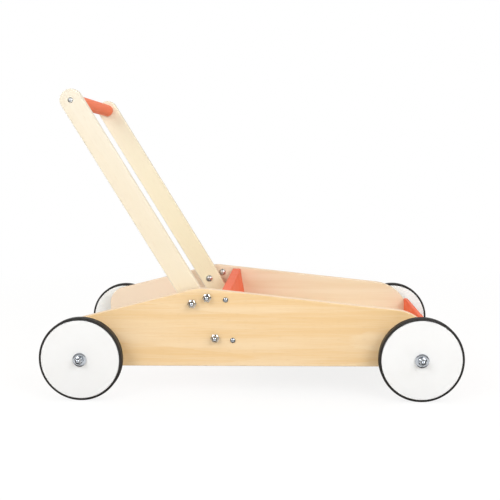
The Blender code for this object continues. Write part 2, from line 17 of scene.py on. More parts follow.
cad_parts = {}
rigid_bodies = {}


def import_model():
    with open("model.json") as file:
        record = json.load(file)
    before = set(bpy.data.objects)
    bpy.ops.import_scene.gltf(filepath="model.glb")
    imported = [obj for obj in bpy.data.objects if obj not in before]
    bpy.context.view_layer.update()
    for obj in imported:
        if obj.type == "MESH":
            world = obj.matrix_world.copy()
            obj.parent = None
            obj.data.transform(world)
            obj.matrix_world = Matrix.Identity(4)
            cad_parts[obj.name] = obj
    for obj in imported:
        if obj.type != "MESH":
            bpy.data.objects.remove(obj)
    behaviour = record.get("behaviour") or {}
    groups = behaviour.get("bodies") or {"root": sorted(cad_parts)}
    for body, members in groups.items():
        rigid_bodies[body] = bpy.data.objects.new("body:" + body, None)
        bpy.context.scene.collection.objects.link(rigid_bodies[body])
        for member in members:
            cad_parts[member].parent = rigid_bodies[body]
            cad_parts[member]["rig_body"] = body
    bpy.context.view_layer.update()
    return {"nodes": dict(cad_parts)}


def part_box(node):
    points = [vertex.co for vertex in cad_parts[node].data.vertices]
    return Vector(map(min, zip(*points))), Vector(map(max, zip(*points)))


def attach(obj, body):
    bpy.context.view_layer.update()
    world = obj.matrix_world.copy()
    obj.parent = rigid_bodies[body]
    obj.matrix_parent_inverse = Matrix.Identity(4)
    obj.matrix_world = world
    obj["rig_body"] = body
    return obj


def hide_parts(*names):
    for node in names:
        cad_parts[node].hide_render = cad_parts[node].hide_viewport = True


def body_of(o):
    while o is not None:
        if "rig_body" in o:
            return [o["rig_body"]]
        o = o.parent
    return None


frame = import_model()
bpy.ops.object.select_all(action="DESELECT")
print("pieces in the packed model:", len(frame["nodes"]))

# %% [markdown]
# ## Camera
#
# The picture was taken from a little above the side panel, square on to it, with a long lens. A camera
# could be aimed by eye, but its place and lens were worked out from the wheels, the panel's edges and
# the bolts, so that the model falls on the same spots of the picture. Yaw, pitch and roll turn it away
# from looking straight along +Y.

# %% Camera
LENS_MM = 59.361
SENSOR_MM = 36.0
CAMERA_PLACE = Vector((0.0518, -1.2037, 0.3083))
YAW = math.radians(2.725)
PITCH = math.radians(6.024)
ROLL = math.radians(-0.441)

bpy.ops.object.camera_add(location=CAMERA_PLACE)
camera = bpy.context.object
camera.name = "studio_camera"
camera.data.lens = LENS_MM
camera.data.sensor_width = SENSOR_MM
level = math.cos(PITCH)
looking = Vector((-math.sin(YAW) * level, math.cos(YAW) * level, -math.sin(PITCH)))
aim = looking.to_track_quat("-Z", "Y").to_matrix().to_4x4()
camera.matrix_world = Matrix.Translation(CAMERA_PLACE) @ aim @ Matrix.Rotation(ROLL, 4, "Z")
bpy.context.scene.camera = camera
print("camera looks along", [round(value, 3) for value in looking])

# %% [markdown]
# ## Building with nodes
#
# Each finish is a tree of shader nodes. Adding and wiring them takes the same few lines every time, so
# these small helpers do it: one puts a value or a wire into a socket, one adds a node, and the rest are
# the nodes that are used most.

# %% Node helpers
def feed(tree, socket, value):
    """Wires another socket into this one, or sets a plain value on it."""
    if isinstance(value, bpy.types.NodeSocket):
        tree.links.new(value, socket)
    else:
        socket.default_value = value


def add_node(tree, kind, inputs, **settings):
    """A node with its settings and with its inputs fed, by name or by number."""
    node = tree.nodes.new(kind)
    for name, value in settings.items():
        setattr(node, name, value)
    for name, value in inputs.items():
        feed(tree, node.inputs[name], value)
    return node


def calc(tree, operation, *values):
    """The result of a Math node."""
    return add_node(tree, "ShaderNodeMath", dict(enumerate(values)), operation=operation).outputs[0]


def stretch(tree, vector, factors):
    """A vector times a factor for each axis."""
    return add_node(tree, "ShaderNodeVectorMath", {0: vector, 1: factors}, operation="MULTIPLY").outputs[0]


def parts_of(tree, vector):
    """A vector's three parts, by the names X, Y and Z."""
    return add_node(tree, "ShaderNodeSeparateXYZ", {0: vector}).outputs


def noise(tree, vector, scale, detail=2.0, roughness=0.5):
    """A Noise Texture's value, from 0 to 1."""
    inputs = {"Vector": vector, "Scale": scale, "Detail": detail, "Roughness": roughness}
    return add_node(tree, "ShaderNodeTexNoise", inputs).outputs[0]


def stretched_noise(tree, vector, waves, detail=2.0, roughness=0.5):
    """A Noise Texture with its own number of waves along each axis."""
    return noise(tree, stretch(tree, vector, waves), 1.0, detail, roughness)


def remap(tree, value, low, high, new_low=0.0, new_high=1.0):
    """Spreads the range from low to high over a new range, and holds what lies outside it."""
    inputs = {0: value, 1: low, 2: high, 3: new_low, 4: new_high}
    return add_node(tree, "ShaderNodeMapRange", inputs, clamp=True).outputs[0]


def mix_colours(tree, share, first, second):
    """A colour between two others. The share is that of the second."""
    node = add_node(tree, "ShaderNodeMix", {0: share, 6: first, 7: second}, data_type="RGBA")
    return node.outputs[2]


def colour(red, green, blue):
    """A solid colour, as a shader's socket takes it."""
    return (red, green, blue, 1.0)


# %% [markdown]
# ## Effects that several finishes share
#
# Wood grain shows in the bare plywood and the pale arms, and faintly through the red paint. Sharp edges
# catch handling and lose a little of their finish on every painted piece. Fingers and cloths leave soft
# smudges on everything. Each effect is a node group, built once and placed in each material with its
# own values.
#
# Veneer is peeled from a turning log, so its figure is like the height lines of a map, pulled long in
# the direction of the grain. The group makes it so: a slow noise, stretched along X, is cut into lines.
# Finer noises add fibres and short pores. Each noise is given by its waves per metre, along the grain
# and across it.

# %% Wood grain
FLOAT = "NodeSocketFloat"
VECTOR = "NodeSocketVector"
STREAK_WAVES = (3.0, 66, 66)
FIGURE_WAVES = (0.9, 11, 11)
FIBRE_WAVES = (22, 850, 850)
PORE_WAVES = (90, 1700, 1700)
STREAK_SHARE = 0.76
LINE_SHARE = 0.08
FIBRE_SHARE = 0.16
RAGGED_LINE = 0.02


def new_group(name, inputs, outputs):
    """A shader node group, with the sockets that it takes in and the sockets that it gives out."""
    group = bpy.data.node_groups.new(name, "ShaderNodeTree")
    for socket, kind in inputs:
        group.interface.new_socket(name=socket, in_out="INPUT", socket_type=kind)
    for socket in outputs:
        group.interface.new_socket(name=socket, in_out="OUTPUT", socket_type=FLOAT)
    return group, group.nodes.new("NodeGroupInput").outputs, group.nodes.new("NodeGroupOutput").inputs


grain_group, taken, given = new_group(
    "wood grain", [("Vector", VECTOR), ("Lines", FLOAT)], ["Tone", "Fibre", "Pore"]
)
streak = stretched_noise(grain_group, taken["Vector"], STREAK_WAVES, detail=4.0, roughness=0.55)
figure = stretched_noise(grain_group, taken["Vector"], FIGURE_WAVES, roughness=0.4)
fibre = stretched_noise(grain_group, taken["Vector"], FIBRE_WAVES)
pore = stretched_noise(grain_group, taken["Vector"], PORE_WAVES, detail=0.0)
ragged = calc(grain_group, "MULTIPLY_ADD", fibre, RAGGED_LINE, figure)
line = calc(grain_group, "FRACT", calc(grain_group, "MULTIPLY", ragged, taken["Lines"]))
line = calc(grain_group, "MULTIPLY", remap(grain_group, line, 0.30, 1.0), LINE_SHARE)
broad = calc(grain_group, "MULTIPLY_ADD", streak, STREAK_SHARE, line)
feed(grain_group, given["Tone"], calc(grain_group, "MULTIPLY_ADD", fibre, FIBRE_SHARE, broad))
feed(grain_group, given["Fibre"], fibre)
feed(grain_group, given["Pore"], remap(grain_group, pore, 0.66, 0.76))
print(grain_group.name, "gives", [socket.name for socket in given if socket.name])

# %% Edge wear and handling
WEAR_WAVES = 140.0
SMUDGE_WAVES = 34.0
SPECKLE_WAVES = 1500.0

wear_group, taken, given = new_group("edge wear", [("Width", FLOAT), ("Vector", VECTOR)], ["Edge"])
softened = add_node(wear_group, "ShaderNodeBevel", {"Radius": taken["Width"]}, samples=6).outputs[0]
plain = wear_group.nodes.new("ShaderNodeNewGeometry").outputs["Normal"]
facing = add_node(wear_group, "ShaderNodeVectorMath", {0: softened, 1: plain}, operation="DOT_PRODUCT")
bent = remap(wear_group, facing.outputs["Value"], 0.995, 0.90)
patches = noise(wear_group, taken["Vector"], WEAR_WAVES, detail=3.0, roughness=0.6)
patchy = remap(wear_group, patches, 0.40, 0.62)
feed(wear_group, given["Edge"], calc(wear_group, "MULTIPLY", bent, patchy))

touch_group, taken, given = new_group("handling", [("Vector", VECTOR)], ["Smudge", "Speckle"])
smudge = noise(touch_group, taken["Vector"], SMUDGE_WAVES, detail=3.0, roughness=0.6)
feed(touch_group, given["Smudge"], remap(touch_group, smudge, 0.30, 0.72))
feed(touch_group, given["Speckle"], noise(touch_group, taken["Vector"], SPECKLE_WAVES, detail=1.0))
print("node groups:", [group.name for group in (grain_group, wear_group, touch_group)])

# %% [markdown]
# ## Finishes
#
# A finish starts as a Principled BSDF whose plain values are set on the shader itself. What changes
# over the surface comes in by wires. Patterns read Object coordinates, so they stay on a piece when it
# turns.
#
# Some pieces look different on the side that faces the middle of the walker, where the origin lies. There
# the surface's direction and its place have opposite signs along the same axis, so their product is below
# zero. A limit a little below zero keeps the rims out of it.

# %% Starting a finish
INWARD = -0.02


def new_finish(name, metallic=0.0, specular=0.5):
    """A material, its node tree, its shader's sockets and the coordinates that its patterns read."""
    finish = bpy.data.materials.new(name)
    finish.use_nodes = True
    tree = finish.node_tree
    shader = tree.nodes["Principled BSDF"].inputs
    shader["Metallic"].default_value = metallic
    shader["Specular IOR Level"].default_value = specular
    return finish, tree, shader, tree.nodes.new("ShaderNodeTexCoord").outputs


def use_group(tree, group, **inputs):
    """Places a node group in a material, and returns its outputs."""
    node = tree.nodes.new("ShaderNodeGroup")
    node.node_tree = group
    for name, value in inputs.items():
        feed(tree, node.inputs[name], value)
    return node.outputs


def turned_vector(tree, coordinates, turn):
    """Object coordinates turned by a Mapping node, so that the grain runs along another direction."""
    inputs = {"Vector": coordinates["Object"], "Rotation": turn}
    return add_node(tree, "ShaderNodeMapping", inputs).outputs[0]


def facing_inward(tree, coordinates, axis="Y"):
    """1 where the surface looks towards the origin along an axis, 0 elsewhere."""
    direction = parts_of(tree, coordinates["Normal"])
    place = parts_of(tree, coordinates["Object"])
    outward = calc(tree, "MULTIPLY", direction[axis], place[axis])
    return calc(tree, "LESS_THAN", outward, INWARD)


def vary_roughness(tree, shader, pattern, smooth, rough):
    """Lets the roughness follow a pattern that goes from 0 to 1."""
    feed(tree, shader["Roughness"], remap(tree, pattern, 0.0, 1.0, smooth, rough))


def raise_surface(tree, shader, height, distance):
    """Feeds a Bump node into the shader's normal."""
    bump = add_node(tree, "ShaderNodeBump", {"Height": height, "Distance": distance})
    feed(tree, shader["Normal"], bump.outputs[0])


# %% [markdown]
# ### Lacquered plywood
#
# The side panels and the floor are birch plywood under clear lacquer: a warm face with a calm figure,
# and edges where the layers show as thin pale and tan stripes. One flat colour would look like card.
# The face and the edge are told apart by the surface's own direction, and the stripes are counted off
# through the board's thickness, so they line up with the real layers. The face that looks into the
# wagon is painted paler, partly as a paler veneer and partly as painted light that offsets the shade
# and the warm bounce inside the wagon. Towards the rear it is painted pinker and lighter still, as
# painted light.

# %% Plywood
PLY = 0.0017
PLYWOOD_LINES = 11.0
END_GRAIN_WAVES = 900.0
END_GRAIN_SHARE = 0.5
STRIPE_SHARE = 0.6
FLECK_SHARE = 0.12
REAR_LIGHT_FROM_X = -0.06
PALE_FACE = colour(0.865, 0.655, 0.405)
WARM_FACE = colour(0.815, 0.560, 0.280)
FACE_FLECK = colour(0.52, 0.31, 0.14)
PALE_INSIDE = colour(0.835, 0.745, 0.575)
WARM_INSIDE = colour(0.795, 0.68, 0.49)
PAINTED_LIGHT_INSIDE = colour(0.93, 0.775, 0.60)
PALE_EDGE = colour(0.90, 0.715, 0.52)
TAN_EDGE = colour(0.81, 0.61, 0.42)


def make_plywood(name, through, first_face):
    """Plywood whose layers are stacked along an axis ("X", "Y" or "Z") from a face outwards."""
    finish, tree, shader, coordinates = new_finish(name, specular=0.4)
    place = coordinates["Object"]
    grain = use_group(tree, grain_group, Vector=place, Lines=PLYWOOD_LINES)
    tone = remap(tree, grain["Tone"], 0.40, 0.59)
    flecks = calc(tree, "MULTIPLY", grain["Pore"], FLECK_SHARE)
    outer_face = mix_colours(tree, flecks, mix_colours(tree, tone, PALE_FACE, WARM_FACE), FACE_FLECK)
    spot = parts_of(tree, place)
    # Painted light: the inner face is painted paler (partly a paler veneer) and pinker towards the rear.
    rear_light_share = remap(tree, spot["X"], 0.0, REAR_LIGHT_FROM_X)
    inner_face = mix_colours(tree, rear_light_share, mix_colours(tree, tone, PALE_INSIDE, WARM_INSIDE), PAINTED_LIGHT_INSIDE)
    face = mix_colours(tree, facing_inward(tree, coordinates, through), outer_face, inner_face)
    depth = calc(tree, "SUBTRACT", calc(tree, "ABSOLUTE", spot[through]), first_face)
    layer = calc(tree, "PINGPONG", calc(tree, "DIVIDE", depth, PLY), 1.0)
    stripe = calc(tree, "MULTIPLY", remap(tree, layer, 0.44, 0.56), STRIPE_SHARE)
    end_grain = noise(tree, place, END_GRAIN_WAVES)
    end_grain = calc(tree, "MULTIPLY_ADD", end_grain, END_GRAIN_SHARE, stripe)
    edge = mix_colours(tree, remap(tree, end_grain, 0.2, 0.9), PALE_EDGE, TAN_EDGE)
    direction = parts_of(tree, coordinates["Normal"])
    on_edge = remap(tree, calc(tree, "ABSOLUTE", direction[through]), 0.80, 0.60)
    feed(tree, shader["Base Color"], mix_colours(tree, on_edge, face, edge))
    smudge = use_group(tree, touch_group, Vector=place)["Smudge"]
    vary_roughness(tree, shader, smudge, smooth=0.42, rough=0.55)
    pits = calc(tree, "MULTIPLY", grain["Pore"], -0.5)
    relief = calc(tree, "MULTIPLY_ADD", grain["Fibre"], 0.5, pits)
    raise_surface(tree, shader, relief, distance=0.00006)
    return finish


panel_low, panel_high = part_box("side_panel_left")
panel_plywood = make_plywood("panel plywood", "Y", panel_low.y)
floor_plywood = make_plywood("floor plywood", "Z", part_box("floor_board")[0].z)
print("plywood layers per panel:", round((panel_high.y - panel_low.y) / PLY))

# %% [markdown]
# ### Pale beech
#
# The handle's arms are a paler, closer wood. Their grain runs along the arm, so the pattern is turned
# by the arm's own lean, which the imported model gives: it is the direction from the pivot bolt to the
# bar. Towards the pivot the wood gets browner. The inner faces are painted paler, as painted light
# for the shade that they stand in, and so are the rounded rims on the rear side, as painted light for
# the shade on those rims.

# %% Beech
def middle_of(node):
    """The middle of a node's box."""
    low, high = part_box(node)
    return (low + high) / 2


QUARTER = math.pi / 2
PIVOT = middle_of("pivot_bolt_left")
BAR_AXIS = middle_of("handle_bar")
ARM_LEAN = math.atan2(PIVOT.x - BAR_AXIS.x, BAR_AXIS.z - PIVOT.z)
BEECH_LINES = 7.0
PALE_BEECH = colour(0.852, 0.793, 0.675)
TAN_BEECH = colour(0.818, 0.732, 0.585)
BROWNER_AT_PIVOT = colour(0.825, 0.71, 0.515)
LIT_INNER_TOP = colour(0.935, 0.865, 0.68)
LIT_INNER_END = colour(0.955, 0.88, 0.59)
PAINTED_RIM_LIGHT = colour(0.97, 0.94, 0.87)
BEECH_FLECK = colour(0.62, 0.44, 0.26)

beech, tree, shader, coordinates = new_finish("pale beech", specular=0.2)
along_arm = turned_vector(tree, coordinates, (0.0, QUARTER + ARM_LEAN, 0.0))
grain = use_group(tree, grain_group, Vector=along_arm, Lines=BEECH_LINES)
tone = remap(tree, grain["Tone"], 0.28, 0.70)
height = parts_of(tree, coordinates["Object"])["Z"]
# The wood is browner towards the pivot.
towards_pivot = remap(tree, height, BAR_AXIS.z, PIVOT.z, 0.0, 0.85)
wood = mix_colours(tree, towards_pivot, mix_colours(tree, tone, PALE_BEECH, TAN_BEECH), BROWNER_AT_PIVOT)
# Painted light: the inner faces are painted paler, more so towards the pivot.
inner_light_share = remap(tree, height, BAR_AXIS.z, PIVOT.z, 0.70, 0.90)
inner_light_share = calc(tree, "MULTIPLY", facing_inward(tree, coordinates), inner_light_share)
inner_painted_light = mix_colours(tree, towards_pivot, LIT_INNER_TOP, LIT_INNER_END)
wood = mix_colours(tree, inner_light_share, wood, inner_painted_light)
direction = parts_of(tree, coordinates["Normal"])
sideways = calc(tree, "ABSOLUTE", direction["Y"])
# Painted light: the rounded rims on the rear side are painted paler, for the shade that falls on them.
rim = calc(tree, "MULTIPLY", remap(tree, sideways, 0.97, 0.75), remap(tree, sideways, 0.0, 0.25))
rim_light_share = calc(tree, "MULTIPLY", rim, remap(tree, direction["X"], 0.0, -0.3))
wood = mix_colours(tree, rim_light_share, wood, PAINTED_RIM_LIGHT)
flecks = calc(tree, "MULTIPLY", grain["Pore"], FLECK_SHARE)
feed(tree, shader["Base Color"], mix_colours(tree, flecks, wood, BEECH_FLECK))
smudge = use_group(tree, touch_group, Vector=coordinates["Object"])["Smudge"]
vary_roughness(tree, shader, smudge, smooth=0.38, rough=0.52)
raise_surface(tree, shader, grain["Fibre"], distance=0.00002)
print("arms lean back by", round(math.degrees(ARM_LEAN), 2), "degrees")

# %% [markdown]
# ### Red paint
#
# The cross boards and the bar are painted orange red, in a satin coat that is thin enough to let the
# grain underneath lift it a little. The grain runs across the walker, so the pattern is turned a
# quarter about Z. The bar is painted lighter and more orange than the boards, as painted light for
# the light that falls on it. It is told from the boards by its height.

# %% Red paint
RED_LINES = 9.0
RED_WEAR_WIDTH = 0.0012
RED_WEAR = 0.35
BAR_LIGHT_SHARE = 0.60
BOARDS_BELOW = BAR_AXIS.z - 0.04
BAR_ABOVE = BAR_AXIS.z - 0.02
PALE_RED = colour(0.90, 0.182, 0.088)
DEEP_RED = colour(0.86, 0.157, 0.072)
BAR_LIGHT_RED = colour(1.0, 0.26, 0.12)
WORN_RED = colour(0.90, 0.42, 0.26)

red_paint, tree, shader, coordinates = new_finish("red paint", specular=0.12)
place = coordinates["Object"]
across = turned_vector(tree, coordinates, (0.0, 0.0, -QUARTER))
grain = use_group(tree, grain_group, Vector=across, Lines=RED_LINES)
touch = use_group(tree, touch_group, Vector=place)
edge = use_group(tree, wear_group, Width=RED_WEAR_WIDTH, Vector=place)["Edge"]
coat = mix_colours(tree, remap(tree, grain["Tone"], 0.30, 0.70), PALE_RED, DEEP_RED)
height = parts_of(tree, place)["Z"]
# Painted light: the bar is painted lighter and more orange than the boards.
bar_light_share = remap(tree, height, BOARDS_BELOW, BAR_ABOVE, 0.0, BAR_LIGHT_SHARE)
coat = mix_colours(tree, bar_light_share, coat, BAR_LIGHT_RED)
worn = calc(tree, "MULTIPLY", edge, RED_WEAR)
feed(tree, shader["Base Color"], mix_colours(tree, worn, coat, WORN_RED))
vary_roughness(tree, shader, touch["Smudge"], smooth=0.50, rough=0.66)
fibres = calc(tree, "MULTIPLY", grain["Fibre"], 0.6)
relief = calc(tree, "MULTIPLY_ADD", touch["Speckle"], 0.4, fibres)
raise_surface(tree, shader, relief, distance=0.00004)
print(red_paint.name, "with", len(tree.nodes), "nodes")

# %% [markdown]
# ### White wheel paint, rubber, zinc and nylon
#
# The discs are sprayed white, with the fine orange-peel skin that spraying leaves. Their inner faces
# are painted whiter, as painted light for the shade that they stand in. The tyres are plain rubber
# with patches of dust. All the hardware is zinc plate, with fine scratches and cloudy patches, in
# three grades: bright with a cold blue cast for the nuts, washers and axles, dull for the screws of
# the boards, and brushed for the bolts and the screws of the bar. Bushes and spacers are natural
# nylon.

# %% White paint
WHITE_WEAR_WIDTH = 0.0010
WHITE_WEAR = 0.25
ORANGE_PEEL_WAVES = 420.0
CLEAN_WHITE = colour(0.858, 0.867, 0.876)
HANDLED_WHITE = colour(0.842, 0.848, 0.852)
PAINTED_LIGHT_WHITE = colour(0.93, 0.96, 0.965)
WORN_WHITE = colour(0.72, 0.66, 0.56)

white_paint, tree, shader, coordinates = new_finish("white wheel paint", specular=0.4)
place = coordinates["Object"]
smudge = use_group(tree, touch_group, Vector=place)["Smudge"]
edge = use_group(tree, wear_group, Width=WHITE_WEAR_WIDTH, Vector=place)["Edge"]
skin = mix_colours(tree, smudge, CLEAN_WHITE, HANDLED_WHITE)
# Painted light: the inner faces of the discs are painted whiter.
skin = mix_colours(tree, facing_inward(tree, coordinates), skin, PAINTED_LIGHT_WHITE)
worn = calc(tree, "MULTIPLY", edge, WHITE_WEAR)
feed(tree, shader["Base Color"], mix_colours(tree, worn, skin, WORN_WHITE))
vary_roughness(tree, shader, smudge, smooth=0.36, rough=0.50)
raise_surface(tree, shader, noise(tree, place, ORANGE_PEEL_WAVES, detail=1.0), distance=0.00005)
print(white_paint.name, "with", len(tree.nodes), "nodes")

# %% Rubber
BLACK = colour(0.014, 0.012, 0.011)
DUSTY = colour(0.052, 0.047, 0.043)

rubber, tree, shader, coordinates = new_finish("tyre rubber", specular=0.4)
touch = use_group(tree, touch_group, Vector=coordinates["Object"])
dust = calc(tree, "MULTIPLY", touch["Smudge"], touch["Speckle"])
feed(tree, shader["Base Color"], mix_colours(tree, dust, BLACK, DUSTY))
vary_roughness(tree, shader, touch["Smudge"], smooth=0.45, rough=0.68)
raise_surface(tree, shader, touch["Speckle"], distance=0.00005)
print(rubber.name, "with", len(tree.nodes), "nodes")

# %% Zinc
FINER_CLOUDS = (6, 6, 6)
SCRATCH_WAVES = (3200, 240, 420)


def make_zinc(name, bright, dull, smooth, rough):
    """Zinc plate between two greys and two values of roughness, in cloudy patches with fine scratches."""
    finish, tree, shader, coordinates = new_finish(name, metallic=1.0)
    place = coordinates["Object"]
    cloud = use_group(tree, touch_group, Vector=stretch(tree, place, FINER_CLOUDS))["Smudge"]
    feed(tree, shader["Base Color"], mix_colours(tree, cloud, bright, dull))
    vary_roughness(tree, shader, cloud, smooth, rough)
    scratches = stretched_noise(tree, place, SCRATCH_WAVES, detail=1.0)
    raise_surface(tree, shader, scratches, distance=0.00001)
    return finish


zinc = make_zinc("bright zinc", colour(0.66, 0.69, 0.73), colour(0.55, 0.58, 0.62), 0.12, 0.22)
dull_zinc = make_zinc("dull zinc", colour(0.50, 0.52, 0.54), colour(0.40, 0.42, 0.44), 0.18, 0.28)
brushed_zinc = make_zinc("brushed zinc", colour(0.86, 0.87, 0.87), colour(0.76, 0.77, 0.77), 0.34, 0.46)
print("zinc grades:", [finish.name for finish in (zinc, dull_zinc, brushed_zinc)])

# %% Nylon
FINER_SMUDGES = (3, 3, 3)
MILKY = colour(0.80, 0.785, 0.73)
YELLOWED = colour(0.74, 0.72, 0.65)

nylon, tree, shader, coordinates = new_finish("natural nylon")
touch = use_group(tree, touch_group, Vector=stretch(tree, coordinates["Object"], FINER_SMUDGES))
feed(tree, shader["Base Color"], mix_colours(tree, touch["Smudge"], MILKY, YELLOWED))
vary_roughness(tree, shader, touch["Speckle"], smooth=0.38, rough=0.52)
raise_surface(tree, shader, touch["Speckle"], distance=0.00003)
print(nylon.name, "with", len(tree.nodes), "nodes")

# %% [markdown]
# ## Tools of the bench
#
# With no window, an operator works on what is selected and active, so every tool first makes sure of
# that. Edges are chosen in code, by their place or by how sharply their two faces meet, as one would
# click them by hand. A finished piece sits at the origin with its place in its mesh, as the packed
# pieces do.

# %% Starting a piece
WELD = 1e-6


def select_only(piece):
    """Makes a piece active, and the only one that is selected."""
    bpy.ops.object.select_all(action="DESELECT")
    piece.select_set(True)
    bpy.context.view_layer.objects.active = piece


def edit(piece):
    """Goes into edit mode, where edges are picked."""
    select_only(piece)
    bpy.ops.object.mode_set(mode="EDIT")
    bpy.ops.mesh.select_mode(type="EDGE")


def leave_edit():
    """Goes back to object mode."""
    bpy.ops.object.mode_set(mode="OBJECT")


def settle(piece):
    """Moves a piece's place, turn and size into its mesh."""
    select_only(piece)
    bpy.ops.object.transform_apply(location=True, rotation=True, scale=True)


def add_block(name, low, high):
    """A cube stretched between two corners."""
    bpy.ops.object.select_all(action="DESELECT")
    low = Vector(low)
    high = Vector(high)
    bpy.ops.mesh.primitive_cube_add(size=1, location=(low + high) / 2, scale=high - low)
    block = bpy.context.object
    block.name = name
    settle(block)
    return block


def add_rod(sides, radius, length, place=(0, 0, 0), turn=0.0):
    """A straight rod along Y, to cut with. It can be turned about its own length."""
    bpy.ops.object.select_all(action="DESELECT")
    bpy.ops.mesh.primitive_cylinder_add(
        vertices=sides, radius=radius, depth=length, location=place, rotation=(QUARTER, turn, 0)
    )
    return bpy.context.object


# %% Cutting and rounding
SHARP = math.radians(50)
BORE_SIDES = 32


def saw(place, outward):
    """In edit mode, saws off what lies beyond a plane and closes the cut."""
    bpy.ops.mesh.select_all(action="SELECT")
    bpy.ops.mesh.bisect(plane_co=place, plane_no=outward, use_fill=True, clear_outer=True)


def round_corner(piece, x, z, radius, segments=10):
    """In edit mode, rounds the corner edge along Y that lies nearest to a point of the XZ plane."""
    shape = bmesh.from_edit_mesh(piece.data)

    def distance(edge):
        first, last = (vertex.co for vertex in edge.verts)
        if abs(first.x - last.x) + abs(first.z - last.z) > WELD:
            return math.inf
        return math.hypot(first.x - x, first.z - z)

    corner = min(shape.edges, key=distance)
    reach = radius * math.tan(corner.calc_face_angle() / 2)
    bpy.ops.mesh.select_all(action="DESELECT")
    corner.select_set(True)
    bmesh.update_edit_mesh(piece.data)
    bpy.ops.mesh.bevel(offset=reach, segments=segments, affect="EDGES")


def ease_edges(piece, width, segments=3):
    """In edit mode, rounds over every sharp edge."""
    bpy.ops.mesh.select_all(action="DESELECT")
    shape = bmesh.from_edit_mesh(piece.data)
    for edge in shape.edges:
        if edge.is_manifold and edge.calc_face_angle() > SHARP:
            edge.select_set(True)
    bmesh.update_edit_mesh(piece.data)
    bpy.ops.mesh.bevel(offset=width, segments=segments, affect="EDGES")


def combine(piece, tool, operation):
    """Cuts a piece with a tool, by a Boolean modifier, and removes the tool."""
    select_only(piece)
    boolean = piece.modifiers.new(operation.lower(), "BOOLEAN")
    boolean.operation = operation
    boolean.solver = "EXACT"
    boolean.object = tool
    bpy.ops.object.modifier_apply(modifier=boolean.name)
    bpy.data.objects.remove(tool)


def drill(piece, holes):
    """Drills round holes along Y. Each is (x, z, radius, first y, last y)."""
    for x, z, radius, first, last in holes:
        bit = add_rod(BORE_SIDES, radius, abs(last - first), (x, (first + last) / 2, z))
        combine(piece, bit, "DIFFERENCE")


# %% Finishing a piece
SMOOTH = math.radians(40)


def weld(piece):
    """Merges points that the cuts left on top of each other."""
    edit(piece)
    bpy.ops.mesh.select_all(action="SELECT")
    bpy.ops.mesh.remove_doubles(threshold=WELD)
    leave_edit()


def even_shading(piece):
    """Smooth shading that keeps sharp edges, with normals that follow the large faces."""
    weld(piece)
    select_only(piece)
    bpy.ops.object.shade_smooth_by_angle(angle=SMOOTH)
    weighted = piece.modifiers.new("even shading", "WEIGHTED_NORMAL")
    weighted.keep_sharp = True
    bpy.ops.object.modifier_apply(modifier=weighted.name)


def hang(piece, node, finish):
    """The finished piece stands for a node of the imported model, and moves with that node's body."""
    piece.name = node + "_finished"
    piece.data.name = piece.name
    piece.data.materials.clear()
    piece.data.materials.append(finish)
    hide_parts(node)
    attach(piece, body_of(frame["nodes"][node])[0])


# %% [markdown]
# ## Side panels
#
# Each panel is one board of plywood: straight below and at its ends, with two slopes that meet at a
# rounded peak above the handle's pivot. A maker would saw the slopes from a blank, round the corners,
# ease all rims and drill the holes. The script does just that: two bisect cuts, a bevel on each corner,
# a fine bevel on all rims, then Boolean cuts for the bores and for the groove that holds the floor.

# %% Bores of a panel
RUN_GAP = 0.0003
SEAT_GAP = 0.0003
THREAD_RADIUS = 0.003
AXLE_RADIUS = 0.004
SCREW_RADIUS = 0.0018
THREAD_HOLE = THREAD_RADIUS + RUN_GAP
AXLE_HOLE = AXLE_RADIUS + RUN_GAP
SCREW_HOLE = SCREW_RADIUS + RUN_GAP
SIDES = {"right": -1, "left": 1}
ENDS = ("front", "rear")
LEVELS = ("upper", "lower")


def panel_bores(side_name, first, last):
    """The bores for the bolts, the axles and the screws of the boards, each from one y to another."""
    radii = {f"{bolt}_cap_nut_{side_name}": THREAD_HOLE for bolt in ("pivot", "lock", "parked")}
    for end_name in ENDS:
        radii[f"{end_name}_axle"] = AXLE_HOLE
        for level_name in LEVELS:
            radii[f"{end_name}_board_screw_{level_name}_{side_name}"] = SCREW_HOLE
    bores = []
    for node, radius in radii.items():
        place = middle_of(node)
        bores.append((place.x, place.z, radius, first, last))
    return bores


print("bores in a panel:", len(panel_bores("left", panel_low.y, panel_high.y)))

# %% Side panels
REAR_SLOPE = math.radians(13.9)
FRONT_SLOPE = math.radians(6.4)
PEAK_X = -0.0667
PEAK_ROUND = 0.030
REAR_ROUND = 0.024
FRONT_ROUND = 0.060
LOWER_ROUND = 0.012
RIM_EASE = 0.0012


